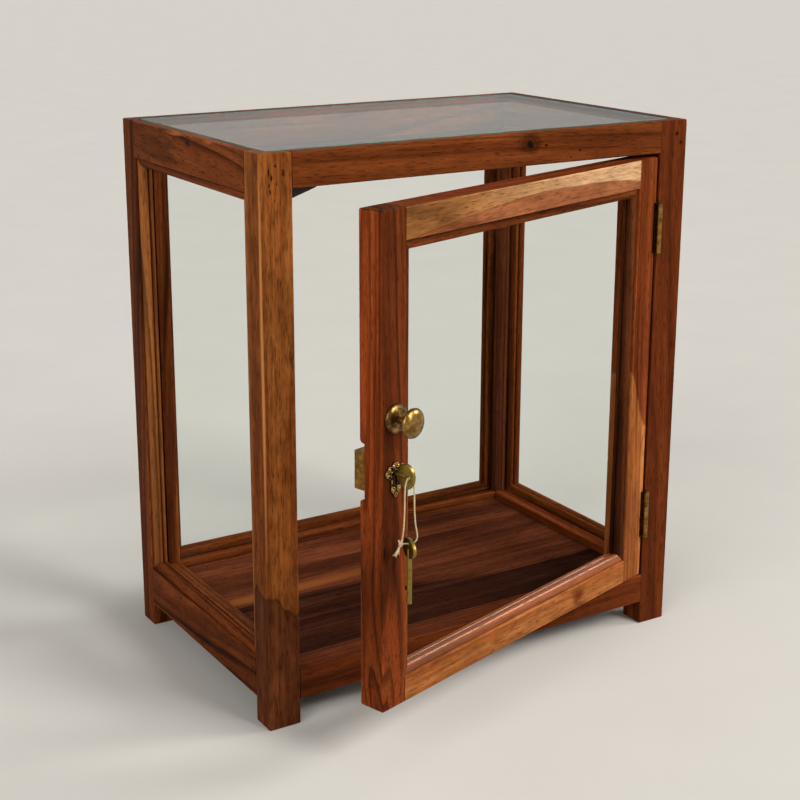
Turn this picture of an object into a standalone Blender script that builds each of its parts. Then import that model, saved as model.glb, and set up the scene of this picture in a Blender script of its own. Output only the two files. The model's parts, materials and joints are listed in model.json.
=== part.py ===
"""Glazed display cabinet with a hinged glass door, a lock, a key and a spare key on a string.

Metres, +Z up, the front towards -Y. The door stands ajar. Pieces are drawn in the cabinet's own frame,
centred on the carcass at floor level, with the door closed; the door's pivot empty then turns the door.
"""

import math

import bmesh
import bpy
from mathutils import Matrix, Vector

# Carcass
CABINET_WIDTH = 0.541
CABINET_DEPTH = 0.336
CABINET_HEIGHT = 0.610
POST_WIDTH = 0.037
POST_DEPTH = 0.031
FOOT_HEIGHT = 0.028
FRONT_TOP_RAIL_HEIGHT = 0.036
FRONT_BOTTOM_RAIL_HEIGHT = 0.036
SIDE_TOP_RAIL_HEIGHT = 0.041
SIDE_BOTTOM_RAIL_HEIGHT = 0.046
ARRIS_RADIUS = 0.0015
ARRIS_SEGMENTS = 2

# Fits and joinery
FIT_GAP = 0.0003
CUT_OVERRUN = 0.001
TENON_LENGTH = 0.010
TENON_THICKNESS = 0.010
TENON_SHOULDER = 0.008

# Base boards, let into the bottom rails
BASE_BOARD_COUNT = 4
BASE_BOARD_THICKNESS = 0.015
BASE_TONGUE = 0.008
BASE_TONGUE_DROP = 0.004
BOARD_ARRIS = 0.0005

# Panes and the moulded beads outside them
GLASS_THICKNESS = 0.004
GROOVE_DEPTH = 0.003
TOP_GLASS_THICKNESS = 0.005
TOP_GLASS_BORDER = 0.013
BEAD_SETBACK = 0.003
BEAD_ROUND_WIDTH = 0.009
BEAD_ROUND_HEIGHT = 0.010
BEAD_ROUND_STEPS = 6
BEAD_QUIRK_WIDTH = 0.001
BEAD_QUIRK_DROP = 0.0005
BEAD_SMALL_WIDTH = 0.0045
BEAD_SMALL_HEIGHT = 0.0085
BEAD_SMALL_STEPS = 4

# Door
DOOR_OPEN_ANGLE = math.radians(16.66)
DOOR_HINGE_GAP = 0.002
DOOR_LOCK_GAP = 0.0035
DOOR_TOP_GAP = 0.004
DOOR_BOTTOM_GAP = 0.0015
DOOR_SETBACK = 0.0007
DOOR_BACK_INSET = 0.0003
LOCK_STILE_WIDTH = 0.033
HINGE_STILE_WIDTH = 0.034
DOOR_TOP_RAIL_HEIGHT = 0.032
DOOR_BOTTOM_RAIL_HEIGHT = 0.028

# Corner block that stops the door
STOP_LENGTH = 0.043
STOP_THICKNESS = 0.010
STOP_LAP = 0.007
STOP_DROP_AT_POST = 0.0204
STOP_DROP_AT_END = 0.0064

# Butt hinges with their knuckles in front of the face
HINGE_LENGTH = 0.057
HINGE_UPPER_INSET = 0.052
HINGE_LOWER_INSET = 0.049
KNUCKLE_RADIUS = 0.0033
KNUCKLE_CLEARANCE = 0.0004
KNUCKLE_COUNT = 5
KNUCKLE_STEPS = 14
PIN_RADIUS = 0.0015
PIN_HEAD_RADIUS = 0.0026
PIN_HEAD_HEIGHT = 0.0012
PIN_SEGMENTS = 16
LEAF_THICKNESS = 0.0012
LEAF_WIDTH = 0.018
STILE_NOTCH_WIDTH = 0.0045
STILE_NOTCH_DEPTH = 0.006

# Knob on a domed rose, held by a screw through the stile
LOCK_BACKSET = 0.0175
KNOB_PLATE_CLEARANCE = 0.0285
ROSE_RADIUS = 0.015
ROSE_RIM = 0.0012
ROSE_RISE = 0.0045
ROSE_CROWN_RADIUS = 0.006
KNOB_RADIUS = 0.015
KNOB_NECK_RADIUS = 0.0042
KNOB_NECK_LENGTH = 0.0116
KNOB_BACK_DEPTH = 0.005
KNOB_FRONT_DEPTH = 0.006
KNOB_STEPS = 6
KNOB_SEGMENTS = 28
SCREW_RADIUS = 0.002
SCREW_HEAD_RADIUS = 0.0042
SCREW_HEAD_RIM = 0.001
SCREW_HEAD_CROWN = 0.0012
SCREW_ENGAGEMENT = 0.009

# Key plate and keyhole
KEY_AXIS_ABOVE_FLOOR = 0.314
PLATE_WIDTH = 0.028
PLATE_HEIGHT = 0.035
PLATE_DROP = 0.006
PLATE_THICKNESS = 0.0022
PLATE_LOBES = 8
PLATE_LOBE_DEPTH = 0.0011
PLATE_STEPS = 64
KEYHOLE_CLEARANCE = 0.0007
KEYHOLE_SLOT_WIDTH = 0.003
KEYHOLE_SLOT_DROP = 0.011

# Cupboard lock in a notch behind the lock stile
LOCK_NOTCH_DEPTH = 0.0065
LOCK_NOTCH_MARGIN = 0.009
LOCK_NOTCH_WALL = 0.0005
LOCK_NOTCH_STEPS = 5
LOCK_CAP_THICKNESS = 0.001
LOCK_WALL = 0.0012
BIT_CLEARANCE = 0.0016
BOLT_LENGTH = 0.022
BOLT_HEIGHT = 0.0115
BOLT_THICKNESS = 0.003
BOLT_HEADROOM = 0.0022
BOLT_STEM_CLEARANCE = 0.00195
BOLT_POST_CLEARANCE = 0.001

# Keys
KEY_HOLE_PROUD = 0.019
KEY_HOLE_RADIUS = 0.002
KEY_HOLE_TO_RIM = 0.006
KEY_BOW_WIDTH = 0.026
KEY_BOW_LENGTH = 0.020
KEY_BOW_THICKNESS = 0.0034
KEY_BOW_ARRIS = 0.0006
KEY_BOW_STEPS = 32
KEY_STEM_RADIUS = 0.0026
KEY_STEM_SEGMENTS = 16
KEY_BIT_LENGTH = 0.004
KEY_BIT_REACH = 0.008
KEY_BIT_THICKNESS = 0.0018
KEY_TIP_LENGTH = 0.012
SPARE_KEY_DROP = 0.068
SPARE_KEY_TWIST = math.radians(23)

# String through both bows
STRING_DIAMETER = 0.0015
STRING_STEP = 0.0022
STRING_BEVEL_RESOLUTION = 2
STRING_ROUTE = (
    (-0.0190, -0.0016, -0.0745),
    (-0.0150, -0.0018, -0.0705),
    (-0.0112, -0.0020, -0.0665),
    (-0.0093, -0.0016, -0.0615),
    (-0.0082, -0.0009, -0.0540),
    (-0.0076, -0.0003, -0.0420),
    (-0.0074, 0.0000, -0.0280),
    (-0.0072, 0.0000, -0.0150),
    (-0.0063, 0.0000, -0.0070),
    (-0.0046, 0.0000, -0.0026),
    (-0.0022, 0.0000, -0.0010),
    (0.0000, 0.0000, -0.00095),
    (0.0022, 0.0000, -0.0010),
    (0.0046, 0.0000, -0.0026),
    (0.0060, 0.0000, -0.0075),
    (0.0064, 0.0002, -0.0180),
    (0.0065, 0.0005, -0.0340),
    (0.0070, 0.0012, -0.0480),
    (0.0081, 0.0022, -0.0570),
    (0.0076, 0.0029, -0.0630),
    (0.0053, 0.0023, -0.0663),
    (0.0023, 0.0010, -0.0670),
    (0.0000, 0.0000, -0.06705),
    (-0.0023, -0.0010, -0.0670),
    (-0.0054, -0.0026, -0.0666),
    (-0.0082, -0.0042, -0.0668),
    (-0.0100, -0.0049, -0.0705),
    (-0.0105, -0.0050, -0.0760),
)

# Places that follow from the sizes above
RIGHT = CABINET_WIDTH / 2
LEFT = -RIGHT
BACK = CABINET_DEPTH / 2
FRONT = -BACK
INNER_X = RIGHT - POST_WIDTH
INNER_Y = BACK - POST_DEPTH
BASE_TOP = FOOT_HEIGHT + FRONT_BOTTOM_RAIL_HEIGHT
FRONT_OPENING_TOP = CABINET_HEIGHT - FRONT_TOP_RAIL_HEIGHT
PANE_LOW = FOOT_HEIGHT + SIDE_BOTTOM_RAIL_HEIGHT
PANE_HIGH = CABINET_HEIGHT - SIDE_TOP_RAIL_HEIGHT
BEAD_WIDTH = BEAD_ROUND_WIDTH + BEAD_QUIRK_WIDTH + BEAD_SMALL_WIDTH
GLASS_SETBACK = BEAD_SETBACK + BEAD_WIDTH + FIT_GAP
MITRE_GAP = FIT_GAP / math.sqrt(2)

DOOR_THICKNESS = POST_DEPTH - DOOR_SETBACK - DOOR_BACK_INSET
DOOR_LEFT = -INNER_X + DOOR_LOCK_GAP
DOOR_RIGHT = INNER_X - DOOR_HINGE_GAP
DOOR_LOW = BASE_TOP + DOOR_BOTTOM_GAP
DOOR_HIGH = FRONT_OPENING_TOP - DOOR_TOP_GAP
DOOR_FRONT = FRONT + DOOR_SETBACK
DOOR_BACK = DOOR_FRONT + DOOR_THICKNESS
DOOR_PANE_LEFT = DOOR_LEFT + LOCK_STILE_WIDTH
DOOR_PANE_RIGHT = DOOR_RIGHT - HINGE_STILE_WIDTH
DOOR_PANE_LOW = DOOR_LOW + DOOR_BOTTOM_RAIL_HEIGHT
DOOR_PANE_HIGH = DOOR_HIGH - DOOR_TOP_RAIL_HEIGHT

PIN_X = INNER_X - DOOR_HINGE_GAP / 2
PIN_Y = FRONT - KNUCKLE_RADIUS - KNUCKLE_CLEARANCE
PIN_BORE_RADIUS = PIN_RADIUS + FIT_GAP
HINGE_CENTRES = {
    "hinge_upper": DOOR_HIGH - HINGE_UPPER_INSET - HINGE_LENGTH / 2,
    "hinge_lower": DOOR_LOW + HINGE_LOWER_INSET + HINGE_LENGTH / 2,
}

LOCK_X = DOOR_LEFT + LOCK_BACKSET
KEY_CENTRE = Vector((LOCK_X, DOOR_FRONT, KEY_AXIS_ABOVE_FLOOR))
KNOB_ABOVE_KEY = PLATE_HEIGHT / 2 - PLATE_DROP + KNOB_PLATE_CLEARANCE + ROSE_RADIUS
KNOB_CENTRE = KEY_CENTRE + Vector((0, 0, KNOB_ABOVE_KEY))
SCREW_BORE_RADIUS = SCREW_RADIUS + FIT_GAP
KNOB_SEAT = ROSE_RIM + ROSE_RISE + 2 * FIT_GAP

# Depths behind the door's front face
LOCK_SEAT = DOOR_THICKNESS - LOCK_NOTCH_DEPTH
LOCK_CAP_FRONT = LOCK_SEAT + FIT_GAP
LOCK_CASE_FRONT = LOCK_CAP_FRONT + LOCK_CAP_THICKNESS + FIT_GAP
BIT_FRONT = LOCK_CASE_FRONT + BIT_CLEARANCE
BOLT_BEHIND_BIT = BIT_FRONT + KEY_BIT_LENGTH + BIT_CLEARANCE
BOLT_BEHIND_POST = POST_DEPTH - DOOR_SETBACK + BOLT_POST_CLEARANCE
BOLT_FRONT = max(BOLT_BEHIND_BIT, BOLT_BEHIND_POST)
BOLT_REAR = BOLT_FRONT + BOLT_THICKNESS
LOCK_CASE_REAR = BOLT_REAR + FIT_GAP + LOCK_WALL

# The lock's height above and below the key's axis, and its width in from the door's free edge
BOLT_LOW = KEY_STEM_RADIUS + BOLT_STEM_CLEARANCE
BOLT_HIGH = BOLT_LOW + BOLT_HEIGHT
LOCK_HALF_HEIGHT = BOLT_HIGH + BOLT_HEADROOM + LOCK_WALL
LOCK_CASE_LEFT = DOOR_LEFT + FIT_GAP
LOCK_CASE_RIGHT = LOCK_X + KEY_BIT_REACH + BIT_CLEARANCE + LOCK_WALL
STEM_BORE_RADIUS = KEY_STEM_RADIUS + FIT_GAP
KEYHOLE_RADIUS = KEY_STEM_RADIUS + KEYHOLE_CLEARANCE

# Places along a key, measured down from its string hole
KEY_BIT_TOP = KEY_HOLE_PROUD + BIT_FRONT
KEY_BIT_END = KEY_BIT_TOP + KEY_BIT_LENGTH
KEY_TIP = KEY_BIT_END + KEY_TIP_LENGTH

SCENE = bpy.context.scene


def clear_scene():
    for obj in list(bpy.data.objects):
        bpy.data.objects.remove(obj, do_unlink=True)


def make_material(name, colour, roughness, metallic=0.0, alpha=1.0):
    material = bpy.data.materials.new(name)
    material.use_nodes = True
    shader = material.node_tree.nodes["Principled BSDF"]
    shader.inputs["Base Color"].default_value = (*colour, 1.0)
    shader.inputs["Roughness"].default_value = roughness
    shader.inputs["Metallic"].default_value = metallic
    shader.inputs["Alpha"].default_value = alpha
    return material


def make_empty(name, parent, location):
    empty = bpy.data.objects.new(name, None)
    SCENE.collection.objects.link(empty)
    empty.parent = parent
    empty.location = location
    return empty


class Maker:
    """Adds objects drawn in the cabinet's frame to one parent empty, which sits at the given place."""

    def __init__(self, parent, place):
        self.parent = parent
        self.offset = -Vector(place)

    def link(self, obj):
        SCENE.collection.objects.link(obj)
        obj.parent = self.parent
        obj.location = self.offset
        return obj

    def solid(self, name, shape, material):
        mesh = bpy.data.meshes.new(name)
        bmesh.ops.recalc_face_normals(shape, faces=shape.faces)
        shape.to_mesh(mesh)
        shape.free()
        mesh.materials.append(material)
        return self.link(bpy.data.objects.new(name, mesh))

    def helper(self, name, shape):
        obj = self.solid(name, shape, MATERIALS["helper"])
        obj.hide_render = True
        obj.display_type = "WIRE"
        return obj


def combine(obj, operation, *others):
    for other in others:
        modifier = obj.modifiers.new(f"{operation.lower()}_{other.name}", "BOOLEAN")
        modifier.operation = operation
        modifier.solver = "EXACT"
        modifier.object = other
    return obj


def cut(obj, *cutters):
    return combine(obj, "DIFFERENCE", *cutters)


def box(low, high):
    shape = bmesh.new()
    bmesh.ops.create_cube(shape, size=1.0)
    low, high = Vector(low), Vector(high)
    size = Matrix.Diagonal((*(high - low), 1.0))
    shape.transform(Matrix.Translation((low + high) / 2) @ size)
    return shape


def ease_edges(shape, radius, along=None):
    """Rounds every edge, or only the edges that run along one axis (0, 1 or 2)."""

    def runs_along(edge):
        run = edge.verts[1].co - edge.verts[0].co
        return along is None or abs(run.normalized()[along]) > 0.5

    edges = [edge for edge in shape.edges if runs_along(edge)]
    bmesh.ops.bevel(
        shape, geom=edges, offset=radius, segments=ARRIS_SEGMENTS, profile=0.5, affect="EDGES"
    )
    return shape


def prism(outline, low, high, to_point):
    """A closed outline of (u, v) pairs between two heights, each corner placed by to_point(u, v, height)."""
    shape = bmesh.new()
    rings = [[shape.verts.new(to_point(u, v, height)) for u, v in outline] for height in (low, high)]
    count = len(outline)
    for i in range(count):
        j = (i + 1) % count
        shape.faces.new((rings[0][i], rings[0][j], rings[1][j], rings[1][i]))
    for ring in rings:
        shape.faces.new(ring)
    return shape


def turned(profile, segments, to_point):
    """A solid of revolution: profile holds (radius, height) pairs and closes through its ends or on the axis."""
    shape = bmesh.new()
    rings = []
    for radius, height in profile:
        if radius == 0:
            rings.append([shape.verts.new(to_point(0, 0, height))])
            continue
        angles = [math.tau * k / segments for k in range(segments)]
        rings.append(
            [shape.verts.new(to_point(radius * math.cos(a), radius * math.sin(a), height)) for a in angles]
        )
    on_axis = len(rings[0]) == 1 and len(rings[-1]) == 1
    pairs = list(zip(rings, rings[1:]))
    if not on_axis:
        pairs.append((rings[-1], rings[0]))
    for first, second in pairs:
        for k in range(segments):
            ends = (first[k % len(first)], first[(k + 1) % len(first)])
            others = (second[(k + 1) % len(second)], second[k % len(second)])
            corners = list(dict.fromkeys((*ends, *others)))
            shape.faces.new(corners)
    return shape


def cylinder(radius, low, high, segments, to_point):
    return turned([(0, low), (radius, low), (radius, high), (0, high)], segments, to_point)


def arc(centre, radii, start, end, steps):
    """Points on an arc of an ellipse, from the start angle to the end angle in radians."""
    angles = [start + (end - start) * k / steps for k in range(steps + 1)]
    return [(centre[0] + radii[0] * math.cos(a), centre[1] + radii[1] * math.sin(a)) for a in angles]


def upright(x, y):
    """Heights run up from the floor at the given place."""
    return lambda u, v, height: (x + u, y + v, height)


def out_of_door(centre):
    """Heights run out of the door's front face, u towards the hinges and v upwards."""
    return lambda u, v, height: (centre.x + u, centre.y - height, centre.z + v)


def shade_round(obj):
    obj.data.shade_smooth()
    obj.data.set_sharp_from_angle(angle=math.radians(35))
    return obj


def make_tenon_bar(maker, name, low, high, along):
    """A bar through the middle of a rail that stands out at both ends, and the cutter for its mortises."""
    across = 1 - along
    bar_low, bar_high = Vector(low), Vector(high)
    middle = (bar_low[across] + bar_high[across]) / 2
    bar_low[across] = middle - TENON_THICKNESS / 2
    bar_high[across] = middle + TENON_THICKNESS / 2
    bar_low.z += TENON_SHOULDER
    bar_high.z -= TENON_SHOULDER
    bar_low[along] -= TENON_LENGTH
    bar_high[along] += TENON_LENGTH
    room = Vector((FIT_GAP, FIT_GAP, FIT_GAP))
    bar = maker.helper(f"{name}_tenons", box(bar_low, bar_high))
    mortises = maker.helper(f"{name}_mortises", box(bar_low - room, bar_high + room))
    return bar, mortises


def make_rail(maker, name, low, high, along):
    """A rail with a tenon at each end. low and high are the space between its two uprights."""
    bar, mortises = make_tenon_bar(maker, name, low, high, along)
    short_low, short_high = Vector(low), Vector(high)
    short_low[along] += FIT_GAP
    short_high[along] -= FIT_GAP
    shape = ease_edges(box(short_low, short_high), ARRIS_RADIUS, along)
    rail = combine(maker.solid(name, shape, MATERIALS["wood"]), "UNION", bar)
    return rail, mortises


def make_carcass_rails():
    """The eight rails by name, and for each the cutter that mortises its posts."""
    spans = {
        "front": ((-INNER_X, FRONT), (INNER_X, -INNER_Y), 0),
        "back": ((-INNER_X, INNER_Y), (INNER_X, BACK), 0),
        "left": ((LEFT, -INNER_Y), (-INNER_X, INNER_Y), 1),
        "right": ((INNER_X, -INNER_Y), (RIGHT, INNER_Y), 1),
    }
    rails = {}
    mortises = {}
    for side, (low, high, along) in spans.items():
        top_low = FRONT_OPENING_TOP if side == "front" else PANE_HIGH
        bottom_high = BASE_TOP if side == "front" else PANE_LOW
        levels = {"top": (top_low, CABINET_HEIGHT), "bottom": (FOOT_HEIGHT, bottom_high)}
        for level, (z_low, z_high) in levels.items():
            name = f"{level}_rail_{side}"
            rails[name], mortises[name] = make_rail(CARCASS, name, (*low, z_low), (*high, z_high), along)
    return rails, mortises


def make_posts():
    posts = {}
    for depth, y_low, y_high in (("front", FRONT, -INNER_Y), ("back", INNER_Y, BACK)):
        for side, x_low, x_high in (("left", LEFT, -INNER_X), ("right", INNER_X, RIGHT)):
            shape = ease_edges(box((x_low, y_low, 0), (x_high, y_high, CABINET_HEIGHT)), ARRIS_RADIUS)
            name = f"post_{depth}_{side}"
            posts[depth, side] = CARCASS.solid(name, shape, MATERIALS["wood"])
    return posts


def make_top_glass(rails, posts):
    reach_x = RIGHT - TOP_GLASS_BORDER
    reach_y = BACK - TOP_GLASS_BORDER
    low = CABINET_HEIGHT - TOP_GLASS_THICKNESS
    high = CABINET_HEIGHT + CUT_OVERRUN
    rebate = CARCASS.helper("top_rebate", box((-reach_x, -reach_y, low - FIT_GAP), (reach_x, reach_y, high)))
    glass_x = reach_x - FIT_GAP
    glass_y = reach_y - FIT_GAP
    shape = box((-glass_x, -glass_y, low), (glass_x, glass_y, CABINET_HEIGHT))
    CARCASS.solid("top_glass", shape, MATERIALS["glass"])
    for post in posts.values():
        cut(post, rebate)
    for name, rail in rails.items():
        if name.startswith("top"):
            cut(rail, rebate)


def make_base_boards(rails, posts):
    reach_x = INNER_X + BASE_TONGUE
    reach_y = INNER_Y + BASE_TONGUE
    low = BASE_TOP - BASE_BOARD_THICKNESS
    pocket_low = (-reach_x - FIT_GAP, -reach_y - FIT_GAP, low - FIT_GAP)
    shoulder = BASE_TOP - BASE_TONGUE_DROP
    pocket_high = (reach_x + FIT_GAP, reach_y + FIT_GAP, shoulder + FIT_GAP)
    pocket = CARCASS.helper("base_pocket", box(pocket_low, pocket_high))
    rim_x = reach_x + CUT_OVERRUN
    rim_y = reach_y + CUT_OVERRUN
    top_x = INNER_X - FIT_GAP
    top_y = INNER_Y - FIT_GAP
    over = BASE_TOP + CUT_OVERRUN
    rim = CARCASS.helper("base_rim", box((-rim_x, -rim_y, shoulder), (rim_x, rim_y, over)))
    middle = box((-top_x, -top_y, shoulder - CUT_OVERRUN), (top_x, top_y, over + CUT_OVERRUN))
    cut(rim, CARCASS.helper("base_rim_middle", middle))
    pitch = (2 * reach_y + FIT_GAP) / BASE_BOARD_COUNT
    for k in range(BASE_BOARD_COUNT):
        y_low = -reach_y + k * pitch
        y_high = y_low + pitch - FIT_GAP
        shape = box((-reach_x, y_low, low), (reach_x, y_high, BASE_TOP))
        ease_edges(shape, BOARD_ARRIS, along=0)
        cut(CARCASS.solid(f"base_board_{k + 1}", shape, MATERIALS["wood"]), rim)
    for post in posts.values():
        cut(post, pocket)
    for name, rail in rails.items():
        if name.startswith("bottom"):
            cut(rail, pocket)


def bead_outline():
    """The bead's section as (u, v): u in from its outer edge, v up from the face that it sits on."""
    radius = BEAD_ROUND_WIDTH / 2
    small = BEAD_SMALL_WIDTH / 2
    quirk_end = BEAD_ROUND_WIDTH + BEAD_QUIRK_WIDTH
    outline = [(0, FIT_GAP)]
    outline += arc((radius, BEAD_ROUND_HEIGHT - radius), (radius, radius), math.pi, 0, BEAD_ROUND_STEPS)
    quirk_floor = BEAD_ROUND_HEIGHT - radius - BEAD_QUIRK_DROP
    outline += [(BEAD_ROUND_WIDTH, quirk_floor), (quirk_end, quirk_floor)]
    small_centre = (quirk_end + small, BEAD_SMALL_HEIGHT - small)
    outline += arc(small_centre, (small, small), math.pi, 0, BEAD_SMALL_STEPS)
    outline += [(BEAD_WIDTH, FIT_GAP)]
    return outline


def make_bead(maker, name, edge_middle, along, inward, into, half_length):
    """One stick with mitred ends. edge_middle is the middle of the opening's edge, on the outer face."""
    shape = bmesh.new()
    ends = []
    for side in (-1, 1):
        ring = []
        for u, v in bead_outline():
            reach = side * (half_length - v - MITRE_GAP)
            ring.append(shape.verts.new(edge_middle + along * reach + inward * v + into * (BEAD_SETBACK + u)))
        ends.append(ring)
    count = len(ends[0])
    for i in range(count):
        j = (i + 1) % count
        shape.faces.new((ends[0][i], ends[0][j], ends[1][j], ends[1][i]))
    for ring in ends:
        shape.faces.new(ring)
    return shade_round(maker.solid(name, shape, MATERIALS["wood"]))


def make_pane(maker, prefix, low, high, into, far_names):
    """A pane in its groove and the four beads outside it.

    low and high are opposite corners of the opening on the outer face, into points inwards from that face,
    and far_names names the beads at the opening's low and high ends.
    """
    low, high, into = Vector(low), Vector(high), Vector(into)
    across = Vector((abs(into.y), abs(into.x), 0))
    up = Vector((0, 0, 1))
    grow = (across + up) * GROOVE_DEPTH
    front = into * (GLASS_SETBACK - FIT_GAP)
    back = into * (GLASS_SETBACK + GLASS_THICKNESS + FIT_GAP)
    corners = [low - grow + front, high + grow + back]
    groove_low = Vector(map(min, *corners))
    groove_high = Vector(map(max, *corners))
    room = Vector((FIT_GAP, FIT_GAP, FIT_GAP))
    groove = maker.helper(f"{prefix}_groove", box(groove_low, groove_high))
    maker.solid(f"{prefix}_glass", box(groove_low + room, groove_high - room), MATERIALS["glass"])
    middle = (low + high) / 2
    half_across = (high - low).dot(across) / 2
    half_up = (high.z - low.z) / 2
    sticks = (
        ("top", up * half_up, across, -up, half_across),
        ("bottom", -up * half_up, across, up, half_across),
        (far_names[0], -across * half_across, up, across, half_up),
        (far_names[1], across * half_across, up, -across, half_up),
    )
    for name, offset, along, inward, half_length in sticks:
        make_bead(maker, f"{prefix}_bead_{name}", middle + offset, along, inward, into, half_length)
    return groove


def make_carcass_panes(rails, posts):
    left = make_pane(
        CARCASS, "left", (LEFT, -INNER_Y, PANE_LOW), (LEFT, INNER_Y, PANE_HIGH), (1, 0, 0), ("front", "back")
    )
    right = make_pane(
        CARCASS, "right", (RIGHT, -INNER_Y, PANE_LOW), (RIGHT, INNER_Y, PANE_HIGH), (-1, 0, 0), ("front", "back")
    )
    back = make_pane(
        CARCASS, "back", (-INNER_X, BACK, PANE_LOW), (INNER_X, BACK, PANE_HIGH), (0, -1, 0), ("left", "right")
    )
    grooves = {"left": left, "right": right, "back": back}
    for side, groove in grooves.items():
        cut(rails[f"top_rail_{side}"], groove)
        cut(rails[f"bottom_rail_{side}"], groove)
        for place, post in posts.items():
            if side in place:
                cut(post, groove)


def make_carcass():
    rails, mortises = make_carcass_rails()
    posts = make_posts()
    for (depth, side), post in posts.items():
        for level in ("top", "bottom"):
            cut(post, mortises[f"{level}_rail_{depth}"], mortises[f"{level}_rail_{side}"])
    make_top_glass(rails, posts)
    make_base_boards(rails, posts)
    make_carcass_panes(rails, posts)
    return posts


def make_door_stop():
    """A corner block behind the front top rail, with a sloping underside that hangs below the rail."""
    near = -INNER_X + FIT_GAP
    far = near + STOP_LENGTH
    top = FRONT_OPENING_TOP + STOP_LAP
    outline = [
        (near, FRONT_OPENING_TOP - STOP_DROP_AT_POST),
        (far, FRONT_OPENING_TOP - STOP_DROP_AT_END),
        (far, top),
        (near, top),
    ]
    front = -INNER_Y + FIT_GAP
    shape = prism(outline, front, front + STOP_THICKNESS, lambda u, v, depth: (u, depth, v))
    CARCASS.solid("door_stop", shape, MATERIALS["dark"])


def make_door_frame():
    """The door's stiles, rails, pane and beads, returned by name for the fittings to cut."""
    stiles = {
        "lock": box((DOOR_LEFT, DOOR_FRONT, DOOR_LOW), (DOOR_PANE_LEFT, DOOR_BACK, DOOR_HIGH)),
        "hinge": box((DOOR_PANE_RIGHT, DOOR_FRONT, DOOR_LOW), (DOOR_RIGHT, DOOR_BACK, DOOR_HIGH)),
    }
    for side, shape in stiles.items():
        stiles[side] = DOOR.solid(f"door_stile_{side}", ease_edges(shape, ARRIS_RADIUS), MATERIALS["wood"])
    rails = {}
    levels = {"top": (DOOR_PANE_HIGH, DOOR_HIGH), "bottom": (DOOR_LOW, DOOR_PANE_LOW)}
    for level, (z_low, z_high) in levels.items():
        low = (DOOR_PANE_LEFT, DOOR_FRONT, z_low)
        high = (DOOR_PANE_RIGHT, DOOR_BACK, z_high)
        rails[level], mortises = make_rail(DOOR, f"door_rail_{level}", low, high, 0)
        for stile in stiles.values():
            cut(stile, mortises)
    low = (DOOR_PANE_LEFT, DOOR_FRONT, DOOR_PANE_LOW)
    high = (DOOR_PANE_RIGHT, DOOR_FRONT, DOOR_PANE_HIGH)
    groove = make_pane(DOOR, "door", low, high, (0, 1, 0), ("left", "right"))
    for member in (*stiles.values(), *rails.values()):
        cut(member, groove)
    return stiles


def knuckle_outline(side):
    """A knuckle and the arm to its leaf, seen from above, around the pin. side is 1 at the post, -1 at the door."""
    inner = DOOR_HINGE_GAP / 2
    outer = inner + LEAF_THICKNESS
    start = math.acos(inner / KNUCKLE_RADIUS)
    end = math.tau + math.acos(min(1.0, outer / KNUCKLE_RADIUS))
    reach = KNUCKLE_RADIUS + KNUCKLE_CLEARANCE + LEAF_THICKNESS
    outline = arc((0, 0), (KNUCKLE_RADIUS, KNUCKLE_RADIUS), start, end, KNUCKLE_STEPS)
    outline += [(outer, reach), (inner, reach)]
    return [(side * u, v) for u, v in outline]


def make_leaf(maker, name, side, low, first_knuckle):
    """One leaf let into the post's or the door's edge, with every second knuckle round the pin."""
    inner = PIN_X + side * DOOR_HINGE_GAP / 2
    outer = inner + side * LEAF_THICKNESS
    y_low = FRONT
    y_high = FRONT + LEAF_WIDTH
    plate = box((min(inner, outer), y_low, low), (max(inner, outer), y_high, low + HINGE_LENGTH))
    leaf = maker.solid(name, plate, MATERIALS["brass"])
    pitch = (HINGE_LENGTH + FIT_GAP) / KNUCKLE_COUNT
    for k in range(first_knuckle, KNUCKLE_COUNT, 2):
        z_low = low + k * pitch
        shape = prism(knuckle_outline(side), z_low, z_low + pitch - FIT_GAP, upright(PIN_X, PIN_Y))
        combine(leaf, "UNION", maker.helper(f"{name}_knuckle_{k}", shape))
    bore = cylinder(
        PIN_BORE_RADIUS, low - CUT_OVERRUN, low + HINGE_LENGTH + CUT_OVERRUN, PIN_SEGMENTS, upright(PIN_X, PIN_Y)
    )
    cut(leaf, maker.helper(f"{name}_bore", bore))
    return shade_round(leaf)


def leaf_recess(maker, name, side, low):
    """The cutter that lets a leaf into the edge that it is screwed to."""
    inner = PIN_X + side * (DOOR_HINGE_GAP / 2 - CUT_OVERRUN)
    outer = PIN_X + side * (DOOR_HINGE_GAP / 2 + LEAF_THICKNESS + FIT_GAP)
    low_corner = (min(inner, outer), FRONT - CUT_OVERRUN, low - FIT_GAP)
    high_corner = (max(inner, outer), FRONT + LEAF_WIDTH + FIT_GAP, low + HINGE_LENGTH + FIT_GAP)
    return maker.helper(name, box(low_corner, high_corner))


def stile_notch(name, low):
    """The cutter for the notch that the stile's front arris has beside a knuckle."""
    low_corner = (DOOR_RIGHT - STILE_NOTCH_WIDTH, DOOR_FRONT - CUT_OVERRUN, low - FIT_GAP)
    high_corner = (DOOR_RIGHT + CUT_OVERRUN, DOOR_FRONT + STILE_NOTCH_DEPTH, low + HINGE_LENGTH + FIT_GAP)
    return DOOR.helper(name, box(low_corner, high_corner))


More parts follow.
